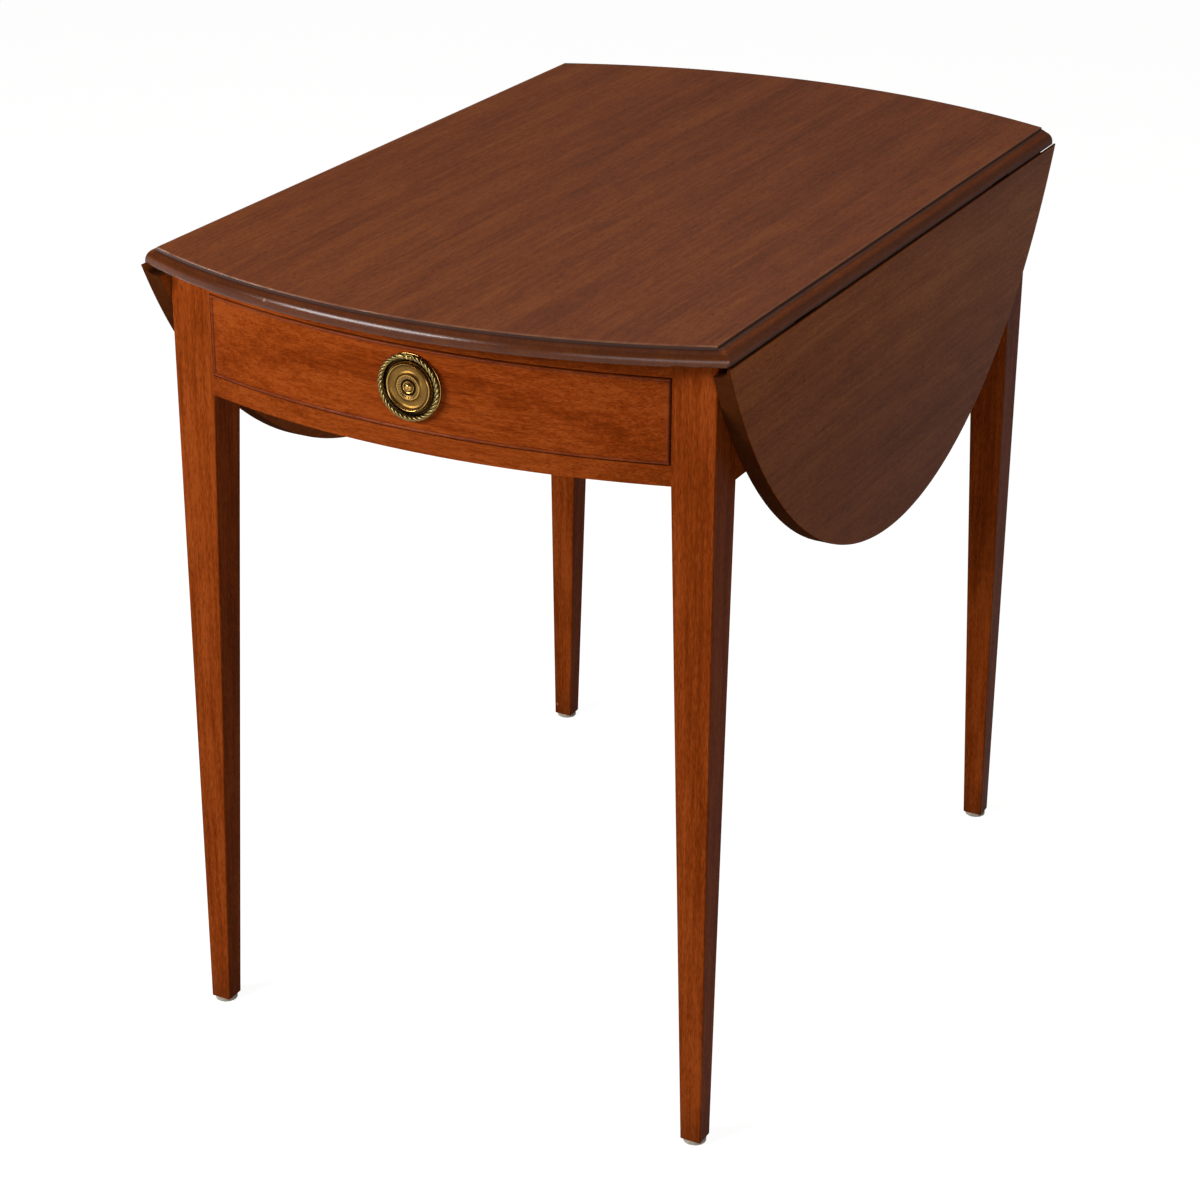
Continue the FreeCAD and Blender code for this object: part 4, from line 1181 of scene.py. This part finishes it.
    def cut_ticks(self, plate: Piece) -> None:
        """Sink every few faces of the boss's inner slope.

        Args:
            plate: rosette in edit mode.
        """
        across, _, up = metres(*self.centre)
        radii = {step.part: step.radius * MM for step in self.section}
        pitch = 2 * math.pi / self.rosette_sides

        def ticked(middle: Vector, normal: Vector) -> bool:
            """True on every few faces of the slope."""
            out = math.hypot(middle.x - across, middle.z - up)
            place = round(math.atan2(middle.z - up, middle.x - across) / pitch - 0.5)
            on_slope = radii["ticked slope end"] < out < radii["ticked slope"]
            return on_slope and place % self.tick_every < self.tick_every / 2

        select_faces(plate, ticked)
        bpy.ops.mesh.inset(thickness=self.tick_rim * MM, depth=-self.tick_depth * MM,
                           use_individual=False)

    def twisted_ring(self) -> Piece:
        """Model the rope-twist ring with its collars and pin.

        Returns:
            The ring.
        """
        across, front, up = metres(*self.centre)
        plane = front - self.ring_off * MM
        left = math.asin(self.left_end / self.ring_radius)
        right = math.asin(self.right_end / self.ring_radius)
        rope = self.rope(2 * math.pi - left - right)
        rope.rotation_euler = (QUARTER_TURN, 0, 0)
        rope.location = (across, plane, up - self.ring_radius * MM)
        open_mesh(rope)
        bpy.ops.mesh.select_all(action="SELECT")
        bpy.ops.transform.rotate(value=(left - right) / 2, orient_axis="Y",
                                 center_override=(across, plane, up))
        bpy.ops.object.mode_set(mode="OBJECT")
        pivot = up + self.pin_rise * MM
        parts = [rope]
        for ends, radius, ease in ((self.collar_left, self.collar_radius, self.collar_ease),
                                   (self.collar_right, self.collar_radius, self.collar_ease),
                                   (self.pin, self.pin_radius, self.pin_ease)):
            parts.append(self.turned_bar(ends, radius, ease, plane, pivot))
        return settle(joined(parts), "pull_twisted_ring", smooth_degrees=50.0)

    def turned_bar(self, ends: Span, radius: float, ease: float, plane: float,
                   height: float) -> Piece:
        """Short round bar along X with eased ends.

        Args:
            ends: its left and right end.
            radius: radius of the bar.
            ease: width of the eased ends.
            plane: Y of its axis, in metres.
            height: Z of its axis, in metres.

        Returns:
            The bar.
        """
        low, high = ends
        start_piece()
        bpy.ops.mesh.primitive_cylinder_add(
            vertices=self.bar_sides, radius=radius * MM, depth=(high - low) * MM,
            location=((low + high) / 2 * MM, plane, height), rotation=(0, QUARTER_TURN, 0))
        bar = bpy.context.object
        open_mesh(bar)
        select_faces(bar, lambda middle, normal: abs(normal.x) > FACING)
        bpy.ops.mesh.bevel(offset=ease * MM, segments=3, affect="EDGES")
        bpy.ops.object.mode_set(mode="OBJECT")
        return bar

    def rope(self, sweep: float) -> Piece:
        """Stranded bar, twisted and bent to the ring, its middle at the origin, hollow side up Y.

        Args:
            sweep: angle that the rope goes round, in radians.

        Returns:
            The rope.
        """
        cuts = self.turns * self.cuts_per_turn
        length = self.ring_radius * MM * sweep
        pitch = length / cuts
        start = (-length / 2, 0, 0)
        start_piece()
        bpy.ops.mesh.primitive_circle_add(
            vertices=self.strands * self.strand_sides, radius=self.rope_radius * MM,
            fill_type="NOTHING", location=start, rotation=(0, QUARTER_TURN, 0))
        rope = bpy.context.object
        open_mesh(rope)
        for step in range(self.strand_sides // 2):
            crest = math.sin(math.pi * (step + 0.5) / self.strand_sides) ** self.rope_round
            share = self.rope_hollow + (1 - self.rope_hollow) * crest
            self.select_between(rope, step)
            bpy.ops.transform.resize(value=(1, share, share), center_override=start)
        bpy.ops.mesh.select_all(action="SELECT")
        bpy.ops.mesh.extrude_region_move(TRANSFORM_OT_translate={"value": (pitch, 0, 0)})
        bpy.ops.object.mode_set(mode="OBJECT")
        row = rope.modifiers.new("row", "ARRAY")
        row.count = cuts
        row.use_relative_offset = False
        row.use_constant_offset = True
        row.constant_offset_displace = (pitch, 0, 0)
        row.use_merge_vertices = True
        row.merge_threshold = pitch / 20      # far under a cut, so that only the seams merge
        for method, axis, angle in (("TWIST", "X", 2 * math.pi * self.turns), ("BEND", "Z", sweep)):
            deform = rope.modifiers.new(method.lower(), "SIMPLE_DEFORM")
            deform.deform_method = method
            deform.deform_axis = axis
            deform.angle = angle
        apply_all(rope)
        bpy.ops.object.mode_set(mode="EDIT")
        bpy.ops.mesh.select_all(action="DESELECT")
        bpy.ops.mesh.select_mode(type="EDGE")
        bpy.ops.mesh.select_non_manifold()
        bpy.ops.mesh.fill()
        bpy.ops.object.mode_set(mode="OBJECT")
        return rope

    def select_between(self, rope: Piece, step: int) -> None:
        """Select the points of the rope's section that lie some steps from a groove, on both sides.

        Args:
            rope: section in edit mode.
            step: 0 beside the groove, more towards the crest.
        """
        bpy.ops.mesh.select_mode(type="VERT")
        bpy.ops.mesh.select_all(action="DESELECT")
        mesh = bmesh.from_edit_mesh(rope.data)
        mesh.verts.ensure_lookup_table()
        for vert in mesh.verts:
            beside = vert.index % self.strand_sides
            vert.select_set(min(beside, self.strand_sides - 1 - beside) == step)
        mesh.select_flush_mode()
        bmesh.update_edit_mesh(rope.data)


@dataclass
class FeltGlides:
    """Four felt pads glued under the feet. Sizes in mm."""

    radius: float = 10.0
    thickness: float = 4.0
    spread_x: float = 240.5
    spread_y: float = 330.5
    sides: int = 44
    ease: float = 0.5
    rim_cuts: int = 3
    fray: float = 0.35
    fray_outward: float = 0.6     # share of the fray that goes straight in and out
    seed: int = 7

    def build(self) -> None:
        """Model a pad for each foot, each with its own fray."""
        pads = []
        for index, (x, y) in enumerate(((-1, -1), (1, -1), (-1, 1), (1, 1))):
            pad = self.pad(self.seed + index)
            foot = metres(x * self.spread_x, y * self.spread_y, 0)
            pad.data.transform(Matrix.Translation(foot))
            pads.append(pad)
        glides = settle(joined(pads), "felt_pads", smooth_degrees=60.0)
        finish_piece(glides, PressedFelt().build(), "frame", "felt", "felt_glides")

    def pad(self, seed: int) -> Piece:
        """Cut disc of felt with a soft frayed rim, standing on the origin.

        Args:
            seed: start of the random fray.

        Returns:
            The pad.
        """
        start_piece()
        bpy.ops.mesh.primitive_cylinder_add(
            vertices=self.sides, radius=(self.radius - self.fray) * MM,
            depth=self.thickness * MM, location=(0, 0, self.thickness / 2 * MM))
        pad = bpy.context.object
        open_mesh(pad)
        select_faces(pad, lambda middle, normal: abs(normal.z) > FACING)
        bpy.ops.mesh.bevel(offset=self.ease * MM, segments=2, affect="EDGES")
        select_faces(pad, lambda middle, normal: abs(normal.z) < BESIDE)
        bpy.ops.mesh.subdivide(number_cuts=self.rim_cuts)
        bpy.ops.mesh.select_mode(type="VERT")
        bpy.ops.transform.vertex_random(offset=self.fray * MM, uniform=1.0,
                                        normal=self.fray_outward, seed=seed)
        bpy.ops.object.mode_set(mode="OBJECT")
        for vert in pad.data.vertices:
            vert.co.z = min(max(vert.co.z, 0.0), self.thickness * MM)
        return pad


@dataclass(frozen=True)
class ScrewSize:
    """Countersunk wood screw: radii and lengths in mm."""

    head: float
    shank: float
    length: float
    slot_width: float
    slot_depth: float
    head_edge: float = 0.25
    tip: float = 0.1              # radius of the tip, as a share of the shank
    sides: int = 24


@dataclass
class Ironwork:
    """Drop-leaf hinges, their slotted screws, the hold-down screws and the fly pins. Sizes in mm."""

    pin_x: float = 254.5
    pin_z: float = 711.0
    underside: float = 708.0
    kicker_face: float = 688.0
    hinge_y: Span = (-215.0, 215.0)
    screw_spread: float = 12.0
    top_screws_out: Span = (17.0, 24.0)
    leaf_screws_out: Span = (24.0, 42.0)
    kicker_x: float = 203.0
    kicker_y: Span = (-240.0, 120.0)
    rail_x: float = 100.0
    rail_y: float = -321.0
    hinge_screw: ScrewSize = ScrewSize(2.9, 1.5, 11.0, slot_width=0.75, slot_depth=0.7)
    hold_down: ScrewSize = ScrewSize(4.0, 2.0, 30.0, slot_width=1.0, slot_depth=1.0)
    seed: int = 11

    def build(self) -> None:
        """Model the screws and finish the hinges and pins."""
        steel = AgedSteel().build()
        screw_steel = AgedSteel("aged_steel_screws", clean="#A39B8C", browned="#5A4C3C",
                                blotch_mm=4.0).build()
        dress(steel, *on_both_sides("top_hinge_plates", "leaf_hinge_plates"))
        dress(steel, "hinge_pins", "fly_pins")
        turn = random.Random(self.seed)
        small = self.screw(self.hinge_screw)
        large = self.screw(self.hold_down)
        upward = Matrix.Identity(4)
        places = [(side * (self.pin_x - out), y, self.underside) for side in (-1, 1)
                  for out, y in self.plate_screws(self.top_screws_out)]
        self.set_screws(small, places, upward, turn, screw_steel, "frame", "top_hinge_screws")
        leaf_face = self.pin_x - (self.pin_z - self.underside)
        for side, name in ((-1, "left"), (1, "right")):
            outward = Matrix.Rotation(side * QUARTER_TURN, 4, "Y")
            places = [(side * leaf_face, y, self.pin_z - out)
                      for out, y in self.plate_screws(self.leaf_screws_out)]
            self.set_screws(small, places, outward, turn, screw_steel, name + "_leaf",
                            "leaf_hinge_screws_" + name)
        places = [(side * self.kicker_x, y, self.kicker_face) for side in (-1, 1)
                  for y in self.kicker_y]
        places += [(side * self.rail_x, self.rail_y, self.kicker_face) for side in (-1, 1)]
        self.set_screws(large, places, upward, turn, screw_steel, "frame", "top_screws")
        for pattern in (small, large):
            bpy.data.objects.remove(pattern)

    def plate_screws(self, outs: Span) -> list[Span]:
        """Screws of both hinges on one side: on each plate a pair near the pin and one at the end.

        Args:
            outs: how far the pair and the single screw are from the pin.

        Returns:
            Distance from the pin and place along the table of each screw.
        """
        places = []
        for y in self.hinge_y:
            places += [(outs[0], y - self.screw_spread), (outs[0], y + self.screw_spread), (outs[1], y)]
        return places

    def set_screws(self, pattern: Piece, places: list[Point], aim: Matrix, turn: random.Random,
                   steel: Material, body: str, node: str) -> None:
        """Copy one screw to each place, each turned its own way, and let them stand for a node.

        Args:
            pattern: screw with its head's face at the origin, pointing up.
            places: where the heads' faces lie.
            aim: turns the screw from up to its own direction.
            turn: seeded source of the slots' angles.
            steel: finish.
            body: body that the screws ride on.
            node: solid that they replace.
        """
        copies = []
        for place in places:
            spin = Matrix.Rotation(turn.uniform(0, math.pi), 4, "Z")
            copies.append(copied(pattern, Matrix.Translation(Vector(place) * MM) @ aim @ spin))
        screws = settle(joined(copies), node + "_slotted", smooth_degrees=30.0)
        finish_piece(screws, steel, body, "steel_hardware", node)

    def screw(self, size: ScrewSize) -> Piece:
        """Slotted countersunk screw, its head's face at the origin, pointing up.

        Args:
            size: its sizes.

        Returns:
            The screw.
        """
        start_piece()
        bpy.ops.mesh.primitive_cylinder_add(
            vertices=size.sides, radius=size.head * MM, depth=size.head_edge * MM,
            location=(0, 0, size.head_edge / 2 * MM))
        body = bpy.context.object
        open_mesh(body)
        select_faces(body, lambda middle, normal: normal.z > FACING)
        extrude_steps([(size.head, size.head_edge), (size.shank, size.head - size.shank),
                       (size.shank, size.length - 2 * size.shank),
                       (size.shank * size.tip, size.length)], (0, 0, 0), Vector((0, 0, 1)))
        start_piece()
        bpy.ops.mesh.primitive_cube_add(size=1)
        blade = bpy.context.object
        blade.scale = metres(3 * size.head, size.slot_width, 2 * size.slot_depth)   # centred on the face
        cut = body.modifiers.new("slot", "BOOLEAN")
        cut.operation = "DIFFERENCE"
        cut.object = blade
        cut.solver = "EXACT"
        apply_all(body)
        bpy.data.objects.remove(blade)
        return body


@dataclass(frozen=True)
class Softbox:
    """Rectangular lamp: its direction from the table in degrees, distance and size in metres."""

    name: str
    azimuth: float
    elevation: float
    away: float
    size: Span
    watts: float


@dataclass
class Studio:
    """Pale floor, soft lamps and the camera at the photograph's angle."""

    azimuth: float = 27.637
    elevation: float = 24.378
    roll: float = 0.324
    target: Point = (-7.931, -36.01, 334.528)
    distance: float = 2694.929
    lens: float = 87.46
    sensor: float = 36.0
    far_metres: float = 300.0
    lamps: tuple[Softbox, ...] = (
        Softbox("key_softbox", -31.0, 23.0, 2.6, (1.3, 0.4), 52.0),
        Softbox("fill_softbox", 26.0, 10.0, 2.6, (2.0, 0.5), 16.0),
        Softbox("top_softbox", 190.0, 62.0, 2.4, (1.2, 1.2), 7.0),
    )
    lamp_aim: Point = (0.0, 0.0, 500.0)
    sky: tuple[Span, ...] = ((0.0, 0.05), (0.5, 0.08), (0.95, 0.40))  # height and light
    wall_heights: Span = (0.05, 0.10)
    wall_light: float = 0.95
    floor_metres: float = 200.0
    floor_colour: str = "#959593"
    floor_rough: float = 0.9
    floor_gloss: float = 0.1
    floor_glow: float = 0.90

    def build(self) -> None:
        """Make floor, world, lamps and camera."""
        self.floor()
        self.world()
        for lamp in self.lamps:
            self.light(lamp)
        self.camera()

    def direction(self, azimuth: float, elevation: float) -> Vector:
        """Unit vector from the table towards an azimuth and elevation.

        Args:
            azimuth: direction round the table, in degrees.
            elevation: direction above the floor, in degrees.

        Returns:
            The vector.
        """
        turn, rise = math.radians(azimuth), math.radians(elevation)
        level = math.cos(rise)
        return Vector((math.sin(turn) * level, -math.cos(turn) * level, math.sin(rise)))

    def camera(self) -> None:
        """Place the camera and make it the scene's."""
        back = self.direction(self.azimuth, self.elevation)
        turn = math.radians(self.azimuth)
        level = Vector((math.cos(turn), math.sin(turn), 0))
        above = back.cross(level)
        lean = math.radians(self.roll)
        right = level * math.cos(lean) + above * math.sin(lean)
        up = above * math.cos(lean) - level * math.sin(lean)
        data = bpy.data.cameras.new("photograph_camera")
        data.lens = self.lens
        data.sensor_width = self.sensor
        data.clip_end = self.far_metres
        camera = bpy.data.objects.new("photograph_camera", data)
        bpy.context.collection.objects.link(camera)
        eye = Vector(self.target) * MM + back * (self.distance * MM)
        turned = Matrix((right, up, back)).transposed().to_4x4()
        camera.matrix_world = Matrix.Translation(eye) @ turned
        bpy.context.scene.camera = camera

    def light(self, softbox: Softbox) -> None:
        """Add a lamp that faces the table.

        Args:
            softbox: the lamp.
        """
        data = bpy.data.lights.new(softbox.name, "AREA")
        data.shape = "RECTANGLE"
        data.size, data.size_y = softbox.size
        data.energy = softbox.watts
        lamp = bpy.data.objects.new(softbox.name, data)
        bpy.context.collection.objects.link(lamp)
        toward = self.direction(softbox.azimuth, softbox.elevation)
        lamp.location = Vector(self.lamp_aim) * MM + toward * softbox.away
        lamp.rotation_euler = toward.to_track_quat("Z", "Y").to_euler()

    def seen(self, tree: Tree) -> Socket:
        """One for the rays that show a backdrop: from the camera, off a gloss or through glass.

        Args:
            tree: node tree of the floor or the world.

        Returns:
            One or zero.
        """
        ray = add_node(tree, "ShaderNodeLightPath")
        direct = add_node(tree, "ShaderNodeMath", {
            0: ray.outputs["Is Camera Ray"], 1: ray.outputs["Is Glossy Ray"]}, operation="MAXIMUM")
        through = add_node(tree, "ShaderNodeMath", {
            0: direct.outputs[0], 1: ray.outputs["Is Transmission Ray"]}, operation="MAXIMUM")
        return through.outputs[0]

    def world(self) -> None:
        """Light the room a little from above, and show its pale wall.

        A gloss shows the wall low down, and the camera sees it at every height.
        """
        world = bpy.data.worlds.new("soft_room")
        bpy.context.scene.world = world
        world.use_nodes = True
        tree = world.node_tree
        tree.nodes.clear()
        look = add_node(tree, "ShaderNodeTexCoord").outputs["Generated"]
        height = add_node(tree, "ShaderNodeSeparateXYZ", {"Vector": look}).outputs["Z"]
        sky = add_node(tree, "ShaderNodeValToRGB", {"Fac": height},
                       stops=[(position, grey(light)) for position, light in self.sky])
        wall = add_node(tree, "ShaderNodeMapRange", {
            "Value": height, "From Min": self.wall_heights[0], "From Max": self.wall_heights[1],
            "To Min": self.wall_light, "To Max": 0.0})
        low = add_node(tree, "ShaderNodeMath", {0: wall.outputs[0], 1: self.seen(tree)},
                       operation="MULTIPLY")
        direct = add_node(tree, "ShaderNodeLightPath").outputs["Is Camera Ray"]
        shown = add_node(tree, "ShaderNodeMath", {0: low.outputs[0], 1: direct},
                         operation="MAXIMUM")
        room = add_node(tree, "ShaderNodeBackground", {
            "Color": sky.outputs["Color"], "Strength": 1.0})
        pale = add_node(tree, "ShaderNodeBackground", {
            "Color": grey(1.0), "Strength": shown.outputs[0]})
        both = add_node(tree, "ShaderNodeAddShader", {
            0: room.outputs["Background"], 1: pale.outputs["Background"]})
        add_node(tree, "ShaderNodeOutputWorld", {"Surface": both.outputs["Shader"]})

    def floor(self) -> None:
        """Lay a pale floor that keeps the table's shadow."""
        start_piece()
        bpy.ops.mesh.primitive_plane_add(size=self.floor_metres)
        floor = bpy.context.object
        floor.name = "studio_floor"
        material, tree, shader = new_material("pale_studio_floor")
        shader.inputs["Base Color"].default_value = linear(self.floor_colour)
        shader.inputs["Roughness"].default_value = self.floor_rough
        shader.inputs["Specular IOR Level"].default_value = self.floor_gloss
        strength = add_node(tree, "ShaderNodeMath", {0: self.seen(tree), 1: self.floor_glow},
                            operation="MULTIPLY")
        glow = add_node(tree, "ShaderNodeEmission", {
            "Color": grey(1.0), "Strength": strength.outputs[0]})
        both = add_node(tree, "ShaderNodeAddShader", {
            0: shader.outputs["BSDF"], 1: glow.outputs["Emission"]})
        output = next(node for node in tree.nodes if node.type == "OUTPUT_MATERIAL")
        tree.links.new(both.outputs["Shader"], output.inputs["Surface"])
        floor.data.materials.append(material)


def main() -> None:
    """Build and dress the table, then light and frame it."""
    logging.basicConfig(level=logging.INFO, format="%(name)s: %(message)s")
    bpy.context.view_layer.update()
    bpy.context.scene.view_settings.view_transform = "Standard"
    for part in (TopAndLeaves(), LegFrame(), Drawer()):
        part.dress()
    for part in (RingPull(), FeltGlides(), Ironwork(), Studio()):
        part.build()


if __name__ == "__main__":
    main()
